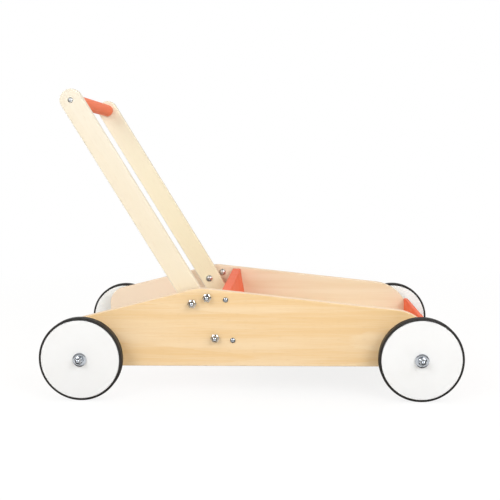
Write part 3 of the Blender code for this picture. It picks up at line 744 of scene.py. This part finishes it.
def shape_panel(side_name):
    """Saws, rounds, eases, drills and grooves one side panel."""
    node = f"side_panel_{side_name}"
    low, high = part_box(node)
    peak_drop = PEAK_ROUND / math.cos((REAR_SLOPE + FRONT_SLOPE) / 2)
    peak_drop = peak_drop * math.cos((REAR_SLOPE - FRONT_SLOPE) / 2) - PEAK_ROUND
    peak = Vector((PEAK_X, 0, high.z + peak_drop))
    panel = add_block(node, low, (high.x, high.y, peak.z + RIM_EASE))
    edit(panel)
    saw(peak, (-math.sin(REAR_SLOPE), 0, math.cos(REAR_SLOPE)))
    saw(peak, (math.sin(FRONT_SLOPE), 0, math.cos(FRONT_SLOPE)))
    rear_top = peak.z + (low.x - peak.x) * math.tan(REAR_SLOPE)
    front_top = peak.z - (high.x - peak.x) * math.tan(FRONT_SLOPE)
    round_corner(panel, peak.x, peak.z, PEAK_ROUND)
    round_corner(panel, low.x, rear_top, REAR_ROUND, segments=14)
    round_corner(panel, high.x, front_top, FRONT_ROUND, segments=20)
    round_corner(panel, low.x, low.z, LOWER_ROUND)
    round_corner(panel, high.x, low.z, LOWER_ROUND)
    ease_edges(panel, RIM_EASE)
    leave_edit()
    drill(panel, panel_bores(side_name, low.y - RIM_EASE, high.y + RIM_EASE))
    floor_low, floor_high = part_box("floor_board")
    gap = Vector((SEAT_GAP, SEAT_GAP, SEAT_GAP))
    combine(panel, add_block("groove", floor_low - gap, floor_high + gap), "DIFFERENCE")
    even_shading(panel)
    hang(panel, node, panel_plywood)
    return panel


panels = [shape_panel(side_name) for side_name in SIDES]
print("faces of a panel:", len(panels[0].data.polygons))

# %% [markdown]
# ## Floor and cross boards
#
# The floor is a thin board in the panels' grooves. The two red boards tie the panels together: the rear
# one leans back much as the handle does in its forward place, the front one stands upright and is
# rounded over at the top, more on its outer side. All are blocks with eased edges. The rear board is
# made upright and too tall, and then turned about its own middle, because its lean is easier to give as
# one angle than as eight corners. Two level saw cuts then give it its height.

# %% Floor
FLOOR_EASE = 0.0004

low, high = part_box("floor_board")
floor_board = add_block("floor", low, high)
edit(floor_board)
ease_edges(floor_board, FLOOR_EASE, segments=2)
leave_edit()
even_shading(floor_board)
hang(floor_board, "floor_board", floor_plywood)
print("floor board is", round((high.z - low.z) * 1000, 1), "mm thick")

# %% Rear board
BOARD_LEAN = math.radians(9.5)
REAR_BOARD_THICKNESS = 0.012
BOARD_EASE = 0.0014


def board_bores(end_name):
    """The bores of the four screws that hold a cross board."""
    bores = []
    for side_name in SIDES:
        for level_name in LEVELS:
            screw = f"{end_name}_board_screw_{level_name}_{side_name}"
            low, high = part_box(screw)
            place = middle_of(screw)
            bores.append((place.x, place.z, SCREW_HOLE, low.y - RUN_GAP, high.y + RUN_GAP))
    return bores


low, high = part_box("rear_board")
half = REAR_BOARD_THICKNESS / 2
reach = high.z - low.z
rear_board = add_block("rear board", (-half, low.y, -reach), (half, high.y, reach))
rear_board.rotation_euler.y = -BOARD_LEAN
rear_board.location = middle_of("rear_board")
settle(rear_board)
edit(rear_board)
saw(high, (0, 0, 1))
saw(low, (0, 0, -1))
ease_edges(rear_board, BOARD_EASE, segments=4)
leave_edit()
drill(rear_board, board_bores("rear"))
even_shading(rear_board)
hang(rear_board, "rear_board", red_paint)
print("rear board leans", round(math.degrees(BOARD_LEAN), 1), "degrees")

# %% Front board
OUTER_ROUND = 0.0068
INNER_ROUND = 0.0016
FRONT_EASE = 0.0006

low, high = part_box("front_board")
front_board = add_block("front board", low, high)
edit(front_board)
round_corner(front_board, high.x, high.z, OUTER_ROUND)
round_corner(front_board, low.x, high.z, INNER_ROUND)
ease_edges(front_board, FRONT_EASE)
leave_edit()
drill(front_board, board_bores("front"))
even_shading(front_board)
hang(front_board, "front_board", red_paint)
print("front board is", round((high.z - low.z) * 1000, 1), "mm high")

# %% [markdown]
# ## Handle arms
#
# An arm is a flat stick with full-round ends and well rounded rims, drilled for the pivot bolt, the
# lock bolt and the bar's screw. It is shaped upright over the origin, where its corners have simple
# places, then leaned back and set on the pivot, and drilled last.

# %% Handle arms
ARM_WIDTH = 0.030
ARM_EASE = 0.0018
ARM_LENGTH = math.hypot(BAR_AXIS.x - PIVOT.x, BAR_AXIS.z - PIVOT.z)


def shape_arm(side_name):
    """Rounds, leans and drills one arm."""
    node = f"handle_arm_{side_name}"
    low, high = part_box(node)
    half = ARM_WIDTH / 2
    arm = add_block(node, (-half, low.y, -half), (half, high.y, ARM_LENGTH + half))
    edit(arm)
    for x in (-half, half):
        for z in (-half, ARM_LENGTH + half):
            round_corner(arm, x, z, half - RUN_GAP, segments=16)
    ease_edges(arm, ARM_EASE, segments=4)
    leave_edit()
    arm.rotation_euler.y = -ARM_LEAN
    arm.location = (PIVOT.x, 0, PIVOT.z)
    settle(arm)
    lock = middle_of(f"lock_bolt_{side_name}")
    bores = ((PIVOT, THREAD_HOLE), (lock, THREAD_HOLE), (BAR_AXIS, SCREW_HOLE))
    through = (low.y - ARM_EASE, high.y + ARM_EASE)
    drill(arm, [(place.x, place.z, radius, *through) for place, radius in bores])
    even_shading(arm)
    hang(arm, node, beech)


for side_name in SIDES:
    shape_arm(side_name)
print("arm length between pivot and bar:", round(ARM_LENGTH, 4))

# %% [markdown]
# ## Turning on the lathe
#
# All other pieces are round. A lathe piece could start as a cylinder with many bevels, but it is
# simpler to draw half of its section once, by pulling a single point along it, and to spin that line
# about the Y axis. Radius goes along X and length along Y. A line that starts and ends on the axis
# makes a solid, and one that comes back to its start makes a ring. The doubles are merged and the
# normals recalculated after the spin.

# %% Drawing an outline
def arc(centre, radius, first, last, steps):
    """Points of an outline along an arc, from one angle to another, in degrees."""
    points = []
    for step in range(steps + 1):
        angle = math.radians(first + (last - first) * step / steps)
        points.append((centre[0] + radius * math.cos(angle), centre[1] + radius * math.sin(angle)))
    return points


def dome(top, width, fall, steps):
    """Points of an outline along a shallow dome, from its top outwards, by its width and its fall."""
    radius = (width**2 + fall**2) / (2 * fall)
    spread = math.degrees(math.asin(width / radius))
    points = arc((top[0], top[1] - radius), radius, 90, 90 - spread, steps)
    return [top] + points[1:]


def mirrored(upper):
    """The upper half of an outline with its mirror image added below."""
    return upper + [(radius, -length) for radius, length in reversed(upper) if length > 0]


def closed(outline):
    """An outline that comes back to its start."""
    return outline + outline[:1]


def ring_outline(inner, outer, length, ease):
    """The section of a sleeve, centred on its length, with its outer corners rounded."""
    half = length / 2
    return closed(mirrored([(inner, half)] + arc((outer - ease, half - ease), ease, 90, 0, steps=3)))


# %% Spinning an outline
def turn_piece(name, outline, steps=64):
    """Spins an outline of (radius, length) points about the Y axis."""
    bpy.ops.object.select_all(action="DESELECT")
    bpy.ops.mesh.primitive_plane_add()
    piece = bpy.context.object
    piece.name = name
    bpy.ops.object.mode_set(mode="EDIT")
    bpy.ops.mesh.select_mode(type="VERT")
    bpy.ops.mesh.merge(type="CENTER")
    bpy.ops.transform.translate(value=(*outline[0], 0.0))
    for start, end in zip(outline, outline[1:]):
        step = (end[0] - start[0], end[1] - start[1], 0.0)
        bpy.ops.mesh.extrude_vertices_move(TRANSFORM_OT_translate={"value": step})
    bpy.ops.mesh.select_all(action="SELECT")
    bpy.ops.mesh.spin(steps=steps, angle=2 * math.pi, center=(0, 0, 0), axis=(0, 1, 0))
    bpy.ops.mesh.select_all(action="SELECT")
    bpy.ops.mesh.remove_doubles(threshold=WELD)
    bpy.ops.mesh.normals_make_consistent(inside=False)
    leave_edit()
    return piece


# %% Setting copies in place
def copy_to(pattern, place, facing):
    """A copy with its own mesh at a place, turned half round about Z where it faces -Y."""
    select_only(pattern)
    bpy.ops.object.duplicate(linked=False)
    piece = bpy.context.object
    piece.location = place
    piece.rotation_euler.z = 0.0 if facing > 0 else math.pi
    settle(piece)
    return piece


def set_copies(pattern, spots, finish):
    """A copy of a pattern for each (node, place, facing). The pattern itself is then removed."""
    even_shading(pattern)
    for node, place, facing in spots:
        hang(copy_to(pattern, place, facing), node, finish)
    print(pattern.name, "x", len(spots), "with", len(pattern.data.polygons), "faces")
    bpy.data.objects.remove(pattern)


def set_rings(pattern, nodes, finish):
    """Copies of a piece that is centred on its length, each in the middle of a node, with +Y outwards."""
    spots = []
    for node in nodes:
        place = middle_of(node)
        spots.append((node, place, -1 if place.y < -WELD else 1))
    set_copies(pattern, spots, finish)


def set_fasteners(pattern, nodes, finish):
    """Copies of a fastener whose outer end is at the origin, facing +Y. Each node comes with its facing."""
    spots = []
    for node, facing in nodes:
        low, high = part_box(node)
        place = middle_of(node)
        place.y = high.y if facing > 0 else low.y
        spots.append((node, place, facing))
    set_copies(pattern, spots, finish)


# %% [markdown]
# ## Wheels
#
# A wheel is a painted wooden disc with a thin rubber tyre round it. The tyre's inner rib sits in a
# groove of the disc, and a nylon bush lines the bore. The tyre's radius is the axle's height, so it
# just stands on the floor. A faint mould line runs round the middle of the tread.

# %% Discs
CORNERS = [f"{end_name}_{side_name}" for end_name in ENDS for side_name in SIDES]
WHEEL_STEPS = 128
WHEEL_WIDTH = 0.014
DISC_RADIUS = 0.0517
DISC_EDGE = 0.0009
RIB_WIDTH = 0.005
RIB_DEPTH = 0.0015
BUSH_WALL = 0.002
BUSH_RADIUS = AXLE_HOLE + BUSH_WALL

half_width = WHEEL_WIDTH / 2
groove = DISC_RADIUS - RIB_DEPTH
lip = RIB_WIDTH / 2 + SEAT_GAP
bore = BUSH_RADIUS + SEAT_GAP
upper = [(bore, half_width - DISC_EDGE), (bore + DISC_EDGE / 2, half_width)]
upper += arc((DISC_RADIUS - DISC_EDGE, half_width - DISC_EDGE), DISC_EDGE, 90, 0, steps=5)
upper += [(DISC_RADIUS, lip), (groove, lip)]
disc = turn_piece("wheel disc", closed(mirrored(upper)), WHEEL_STEPS)
set_rings(disc, [f"wheel_disc_{corner}" for corner in CORNERS], white_paint)

# %% Tyres and bushes
TYRE_SHOULDER = 0.0021
MOULD_LINE_REACH = 0.0004
MOULD_LINE_DEPTH = 0.0003
BUSH_EASE = 0.0004

tyre_radius = middle_of("front_axle").z
tyre_inner = DISC_RADIUS + SEAT_GAP
upper = [(tyre_inner - RIB_DEPTH, RIB_WIDTH / 2), (tyre_inner, RIB_WIDTH / 2), (tyre_inner, half_width)]
upper += arc((tyre_radius - TYRE_SHOULDER, half_width - TYRE_SHOULDER), TYRE_SHOULDER, 90, 0, steps=8)
upper += [(tyre_radius, MOULD_LINE_REACH), (tyre_radius - MOULD_LINE_DEPTH, 0.0)]
tyre = turn_piece("tyre", closed(mirrored(upper)), WHEEL_STEPS)
set_rings(tyre, [f"tyre_{corner}" for corner in CORNERS], rubber)

bush = turn_piece("hub bush", ring_outline(AXLE_HOLE, BUSH_RADIUS, WHEEL_WIDTH, BUSH_EASE))
set_rings(bush, [f"hub_bush_{corner}" for corner in CORNERS], nylon)

# %% [markdown]
# ## Axles, spacers and washers
#
# Two steel rods run from wheel to wheel under the floor. Each steps down to a thinner thread at its
# ends, and the thread takes a washer and a nut. The washers are flat round the nut and fall away to the
# rim like a shallow dish. Nylon spacers keep the wheels off the panels, and the arms as well.

# %% Axles
AXLE_STEPS = 48
CHAMFER = 0.0005

washer_low, washer_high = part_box("axle_washer_front_left")
shoulder = washer_low.y - SEAT_GAP
axle_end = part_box("front_axle")[1].y
upper = [(0.0, axle_end), (THREAD_RADIUS - CHAMFER, axle_end), (THREAD_RADIUS, axle_end - CHAMFER)]
upper += [(THREAD_RADIUS, shoulder), (AXLE_RADIUS - CHAMFER, shoulder), (AXLE_RADIUS, shoulder - CHAMFER)]
axle = turn_piece("axle", mirrored(upper), AXLE_STEPS)
set_rings(axle, ["front_axle", "rear_axle"], zinc)

# %% Axle spacers
SPACER_WALL = 0.0027
SPACER_LENGTH = 0.012
SPACER_EASE = 0.0005

spacer = turn_piece(
    "axle spacer", ring_outline(AXLE_HOLE, AXLE_HOLE + SPACER_WALL, SPACER_LENGTH, SPACER_EASE)
)
set_rings(spacer, [f"axle_spacer_{corner}" for corner in CORNERS], nylon)

# %% Washers
WASHER_STEPS = 96
WASHER_RADIUS = 0.009
WASHER_FLAT = 0.0054
WASHER_FALL = 0.0004

half = (washer_high.y - washer_low.y) / 2
outline = [(THREAD_HOLE, half)]
outline += dome((WASHER_FLAT, half), WASHER_RADIUS - WASHER_FLAT, WASHER_FALL, steps=8)
outline += [(WASHER_RADIUS, -half), (THREAD_HOLE, -half)]
washer = turn_piece("axle washer", closed(outline), WASHER_STEPS)
set_rings(washer, [f"axle_washer_{corner}" for corner in CORNERS], zinc)

# %% Arm spacers
ARM_SPACER_WALL = 0.004
ARM_SPACER_LENGTH = 0.004
ARM_SPACER_EASE = 0.0004

arm_spacer = turn_piece(
    "arm spacer",
    ring_outline(THREAD_HOLE, THREAD_HOLE + ARM_SPACER_WALL, ARM_SPACER_LENGTH, ARM_SPACER_EASE),
)
set_rings(arm_spacer, [f"arm_spacer_{side_name}" for side_name in SIDES], nylon)

# %% [markdown]
# ## Cap nuts
#
# A cap nut is a hexagon with a dome that hides the end of the thread. The hexagon's corners are turned
# off, which leaves an arc on each flat. A factory turns such a nut from hexagon bar. Here it goes the
# other way round: the whole section, with dome and blind bore, is turned from a round blank, and a long
# six-sided prism then takes away what stands over its flats. The nut of the lock bolt has a stem in
# place of the bore. The nuts stop at different angles when they are tightened, so the prism is turned.

# %% Shaping a cap nut
HEXAGON = 6
NUT_STEPS = 96
DOME_STEPS = 12
FLATS = 0.005
HEX_HEIGHT = 0.005
DOME_RADIUS = 0.0043
DOME_HEIGHT = 0.006
NUT_HEIGHT = HEX_HEIGHT + DOME_HEIGHT
NUT_GRIP = 0.0068
CORNER_CUT = 0.0008
CLEAR = 0.0001


def shape_cap_nut(turn, stem=0.0):
    """A cap nut whose dome ends at the origin and faces +Y, turned on its thread by an angle."""
    seat = -NUT_HEIGHT
    top = seat + HEX_HEIGHT
    corner = FLATS / math.cos(math.pi / HEXAGON)
    blank = [(0.0, 0.0)] + arc((0.0, -DOME_RADIUS), DOME_RADIUS, 90, 0, DOME_STEPS)[1:]
    blank += [(DOME_RADIUS, top), (corner + CLEAR, top - CORNER_CUT)]
    blank += [(corner + CLEAR, seat + CORNER_CUT / 2), (FLATS - CLEAR, seat)]
    if stem:
        blank += [(THREAD_RADIUS, seat), (THREAD_RADIUS, seat - stem), (0.0, seat - stem)]
    else:
        blank += [(THREAD_HOLE, seat), (THREAD_HOLE, seat + NUT_GRIP), (0.0, seat + NUT_GRIP)]
    nut = turn_piece("cap nut", blank, NUT_STEPS)
    combine(nut, add_rod(HEXAGON, corner, 4 * NUT_HEIGHT, (0, seat, 0), turn), "INTERSECT")
    return nut


print("cap nut is", round(2000 * FLATS, 1), "mm across flats and", round(1000 * NUT_HEIGHT, 1), "mm high")

# %% Cap nuts
PANEL_TURN = math.radians(30)
HUB_TURNS = {"rear": math.radians(13), "front": math.radians(-8)}

for end_name, turn in HUB_TURNS.items():
    hub_nuts = [(f"axle_cap_nut_{end_name}_{side_name}", side) for side_name, side in SIDES.items()]
    set_fasteners(shape_cap_nut(turn), hub_nuts, zinc)
panel_nuts = []
for side_name, side in SIDES.items():
    panel_nuts += [(f"pivot_cap_nut_{side_name}", side), (f"parked_cap_nut_{side_name}", side)]
set_fasteners(shape_cap_nut(PANEL_TURN), panel_nuts, zinc)
low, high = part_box("lock_cap_nut_left")
lock_nuts = [(f"lock_cap_nut_{side_name}", side) for side_name, side in SIDES.items()]
set_fasteners(shape_cap_nut(PANEL_TURN, high.y - low.y - NUT_HEIGHT), lock_nuts, zinc)

# %% [markdown]
# ## Bolts
#
# Three bolts on each side have low round heads with a hexagon socket: the pivot bolt, the lock bolt
# that the arm carries, and the bolt that is parked in the lock hole that isn't in use. Only their
# shanks differ in length. The head is turned with its shank, and the socket is cut with a six-sided
# prism.

# %% Bolts
HEAD_RADIUS = 0.00525
HEAD_HEIGHT = 0.0033
HEAD_RIM = 0.0006
SOCKET_RADIUS = 0.0019
SOCKET_DEPTH = 0.0016


def shape_bolt(length):
    """A bolt of a whole length, its head's top at the origin and facing +Y."""
    outline = dome((0.0, 0.0), HEAD_RADIUS, HEAD_HEIGHT - HEAD_RIM, steps=10)
    outline += [(HEAD_RADIUS, -HEAD_HEIGHT), (THREAD_RADIUS, -HEAD_HEIGHT)]
    outline += [(THREAD_RADIUS, CHAMFER - length), (THREAD_RADIUS - CHAMFER, -length), (0.0, -length)]
    bolt = turn_piece("bolt", outline)
    combine(bolt, add_rod(HEXAGON, SOCKET_RADIUS, 2 * SOCKET_DEPTH), "DIFFERENCE")
    return bolt


for kind in ("pivot_bolt", "lock_bolt", "parked_bolt"):
    low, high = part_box(f"{kind}_left")
    places = [(f"{kind}_{side_name}", -side) for side_name, side in SIDES.items()]
    set_fasteners(shape_bolt(high.y - low.y), places, brushed_zinc)

# %% [markdown]
# ## Wood screws
#
# Round-headed screws hold the boards and the bar. The head has a cross recess, cut with two thin
# blocks, and the shank carries turned rings that stand for its thread.

# %% Wood screws
SCREW_STEPS = 32
SCREW_LENGTH = 0.035
SCREW_HEAD_RADIUS = 0.0034
SCREW_HEAD_HEIGHT = 0.0018
SCREW_HEAD_RIM = 0.0004
SCREW_CORE = 0.0013
SCREW_POINT = 0.0054
THREAD_PITCH = 0.0016
SLOT_WIDTH = 0.0009
SLOT_REACH = 0.0018
SLOT_DEPTH = 0.0009


def shape_screw():
    """A wood screw, its head's top at the origin and facing +Y."""
    outline = dome((0.0, 0.0), SCREW_HEAD_RADIUS, SCREW_HEAD_HEIGHT - SCREW_HEAD_RIM, steps=8)
    outline += [(SCREW_HEAD_RADIUS, -SCREW_HEAD_HEIGHT), (SCREW_CORE, -SCREW_HEAD_HEIGHT)]
    whole = SCREW_HEAD_HEIGHT + SCREW_LENGTH
    length = SCREW_HEAD_HEIGHT + THREAD_PITCH
    while length < whole - SCREW_POINT:
        outline += [(SCREW_CORE, -length), (SCREW_RADIUS, -length - THREAD_PITCH / 3)]
        outline += [(SCREW_CORE, -length - THREAD_PITCH * 2 / 3)]
        length += THREAD_PITCH
    outline += [(SCREW_CORE, SCREW_POINT - whole), (0.0, -whole)]
    screw = turn_piece("wood screw", outline, SCREW_STEPS)
    for reach_x, reach_z in ((SLOT_REACH, SLOT_WIDTH / 2), (SLOT_WIDTH / 2, SLOT_REACH)):
        slot_block = add_block("slot", (-reach_x, -SLOT_DEPTH, -reach_z), (reach_x, SLOT_DEPTH, reach_z))
        combine(screw, slot_block, "DIFFERENCE")
    return screw


bar_screws = [(f"bar_screw_{side_name}", side) for side_name, side in SIDES.items()]
set_fasteners(shape_screw(), bar_screws, brushed_zinc)
board_screws = []
for end_name in ENDS:
    for level_name in LEVELS:
        for side_name, side in SIDES.items():
            board_screws.append((f"{end_name}_board_screw_{level_name}_{side_name}", side))
set_fasteners(shape_screw(), board_screws, dull_zinc)

# %% [markdown]
# ## Handle bar
#
# The bar is a round red rod between the arms, with eased ends and a bore at each end for its screw.

# %% Handle bar
BAR_STEPS = 96
BAR_RADIUS = 0.009

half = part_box("handle_bar")[1].y
upper = [(0.0, half)] + arc((BAR_RADIUS - CHAMFER, half - CHAMFER), CHAMFER, 90, 0, steps=4)
bar = turn_piece("bar", mirrored(upper), BAR_STEPS)
bar.location = (BAR_AXIS.x, 0, BAR_AXIS.z)
settle(bar)
bores = []
for side_name in SIDES:
    low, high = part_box(f"bar_screw_{side_name}")
    bores.append((BAR_AXIS.x, BAR_AXIS.z, SCREW_HOLE, low.y - RUN_GAP, high.y + RUN_GAP))
drill(bar, bores)
even_shading(bar)
hang(bar, "handle_bar", red_paint)
print("bar from", round(-half, 4), "to", round(half, 4))

# %% [markdown]
# ## Studio
#
# The walker stands on a white floor before a white wall. Two soft boxes in front of it, left and right,
# give slightly cool light and the shadows behind the wheels. The world fills in with slightly warm
# light from above, from behind and from both sides, and the floor throws some of it back up. The floor
# and the world are white to the camera, and the floor keeps a pale shadow. Zinc shows what stands round
# it, so a few cards are hung that only polished surfaces see: a dark room for the outlines of the nuts,
# two grey walls, and on either side of the walker a white sheet on the ground, with a strip that
# reaches close to the panel.

# %% Floor of the studio
WHITE = colour(1, 1, 1)
FLOOR_SIZE = 12.0
NEAR_GLOW = 0.84
NEAR_REACH = 0.45
FAR_REACH = 1.3
FLOOR_BOUNCE = colour(0.64, 0.62, 0.59)
FLOOR_SEEN = colour(0.97, 0.97, 0.97)


def seen_rays(tree):
    """1 for rays of the camera and of reflections, 0 for rays that only carry light."""
    rays = tree.nodes.new("ShaderNodeLightPath").outputs
    seen = calc(tree, "MAXIMUM", rays["Is Camera Ray"], rays["Is Glossy Ray"])
    return calc(tree, "MAXIMUM", seen, rays["Is Transmission Ray"])


bpy.ops.object.select_all(action="DESELECT")
bpy.ops.mesh.primitive_plane_add(size=FLOOR_SIZE)
studio_floor = bpy.context.object
studio_floor.name = "studio_floor"
floor_white = bpy.data.materials.new("studio floor")
floor_white.use_nodes = True
tree = floor_white.node_tree
tree.nodes.remove(tree.nodes["Principled BSDF"])
seen = seen_rays(tree)
place = tree.nodes.new("ShaderNodeTexCoord").outputs["Object"]
reach = add_node(tree, "ShaderNodeVectorMath", {0: place}, operation="LENGTH").outputs["Value"]
share = calc(tree, "MULTIPLY", seen, remap(tree, reach, NEAR_REACH, FAR_REACH, NEAR_GLOW, 1.0))
matt = add_node(tree, "ShaderNodeBsdfDiffuse", {"Color": mix_colours(tree, seen, FLOOR_BOUNCE, FLOOR_SEEN)})
glow = add_node(tree, "ShaderNodeEmission", {"Color": WHITE, "Strength": 1.0})
shown = add_node(tree, "ShaderNodeMixShader", {0: share, 1: matt.outputs[0], 2: glow.outputs[0]})
feed(tree, tree.nodes["Material Output"].inputs["Surface"], shown.outputs[0])
studio_floor.data.materials.append(floor_white)
print("floor of", studio_floor.dimensions.x, "m at height", studio_floor.location.z)

# %% World
AMBIENT = 0.20
FROM_BEHIND = 0.80
FROM_ABOVE = 0.62
FROM_THE_SIDES = 0.42
BEHIND_STARTS = 0.50
BEHIND_FULL = 0.86
SIDES_START = 0.20
SIDES_FULL = 0.90
WARM_WHITE = colour(1.0, 0.965, 0.905)

world = bpy.context.scene.world or bpy.data.worlds.new("studio")
bpy.context.scene.world = world
world.use_nodes = True
tree = world.node_tree
tree.nodes.clear()
seen = seen_rays(tree)
direction = parts_of(tree, tree.nodes.new("ShaderNodeTexCoord").outputs["Generated"])
back = remap(tree, direction["Y"], BEHIND_STARTS, BEHIND_FULL, 0.0, FROM_BEHIND)
above = remap(tree, direction["Z"], 0.0, 1.0, 0.0, FROM_ABOVE)
sideways = calc(tree, "ABSOLUTE", direction["X"])
sides = remap(tree, sideways, SIDES_START, SIDES_FULL, 0.0, FROM_THE_SIDES)
light = calc(tree, "ADD", calc(tree, "ADD", sides, AMBIENT), calc(tree, "ADD", back, above))
strength = add_node(tree, "ShaderNodeMix", {0: seen, 2: light, 3: 1.0}, data_type="FLOAT").outputs[0]
warmth = mix_colours(tree, seen, WARM_WHITE, WHITE)
background = add_node(tree, "ShaderNodeBackground", {"Color": warmth, "Strength": strength})
add_node(tree, "ShaderNodeOutputWorld", {"Surface": background.outputs[0]})
print("world with", len(tree.nodes), "nodes")

# %% Lamps
DAYLIGHT = (0.94, 0.965, 1.0)
BOX_SIZE = 0.9
MIDDLE = Vector((0.0, 0.0, 0.15))


def add_softbox(name, place, power):
    """A square soft box that looks at the middle of the walker."""
    bpy.ops.object.select_all(action="DESELECT")
    bpy.ops.object.light_add(type="AREA", location=place)
    lamp = bpy.context.object
    lamp.name = name
    lamp.data.shape = "SQUARE"
    lamp.data.size = BOX_SIZE
    lamp.data.energy = power
    lamp.data.color = DAYLIGHT
    lamp.rotation_euler = (MIDDLE - Vector(place)).to_track_quat("-Z", "Y").to_euler()


add_softbox("left_box", (-0.95, -1.45, 1.05), power=11.3)
add_softbox("right_box", (1.0, -1.42, 1.02), power=14.2)
print("lamps:", [(lamp.name, round(lamp.energy, 1)) for lamp in bpy.data.lights])

# %% Cards that only polished surfaces see
ROOM_BOTTOM = 0.0003
ROOM_TOP = 2.4
SHEET_BOTTOM = 0.0005
SHEET_TOP = 0.0008
SHEET_GREY = 0.90


def add_card(name, low, high, grey):
    """A card or a whole room of one grey."""
    card = add_block(name, low, high)
    finish = bpy.data.materials.new(name)
    finish.use_nodes = True
    shader = finish.node_tree.nodes["Principled BSDF"].inputs
    shader["Base Color"].default_value = colour(0, 0, 0)
    shader["Specular IOR Level"].default_value = 0.0
    shader["Emission Color"].default_value = WHITE
    shader["Emission Strength"].default_value = grey
    card.data.materials.append(finish)
    card.visible_camera = False
    card.visible_diffuse = False
    card.visible_shadow = False
    card.visible_transmission = False


add_card("dark_room", (-2.0, -2.6, ROOM_BOTTOM), (2.0, 2.6, ROOM_TOP), grey=0.08)
add_card("front_wall", (-2.0, -2.55, ROOM_BOTTOM), (2.0, -2.5, ROOM_TOP), grey=0.35)
add_card("back_wall", (-2.0, 2.5, ROOM_BOTTOM), (2.0, 2.55, ROOM_TOP), grey=0.75)
add_card("front_sheet", (-0.45, -1.6, SHEET_BOTTOM), (0.45, -0.25, SHEET_TOP), SHEET_GREY)
add_card("back_sheet", (-0.45, 0.25, SHEET_BOTTOM), (0.45, 1.6, SHEET_TOP), SHEET_GREY)
add_card("front_strip", (-0.15, -0.25, SHEET_BOTTOM), (0.08, -0.18, SHEET_TOP), SHEET_GREY)
add_card("back_strip", (-0.15, 0.18, SHEET_BOTTOM), (0.08, 0.25, SHEET_TOP), SHEET_GREY)
hidden = [piece for piece in bpy.data.objects if not piece.visible_camera]
print("cards:", [piece.name for piece in hidden if piece.type == "MESH"])

# %% [markdown]
# ## Finishing
#
# The view transform is Standard, so that a colour comes out as it is written.

# %% Finish
bpy.context.scene.view_settings.view_transform = "Standard"
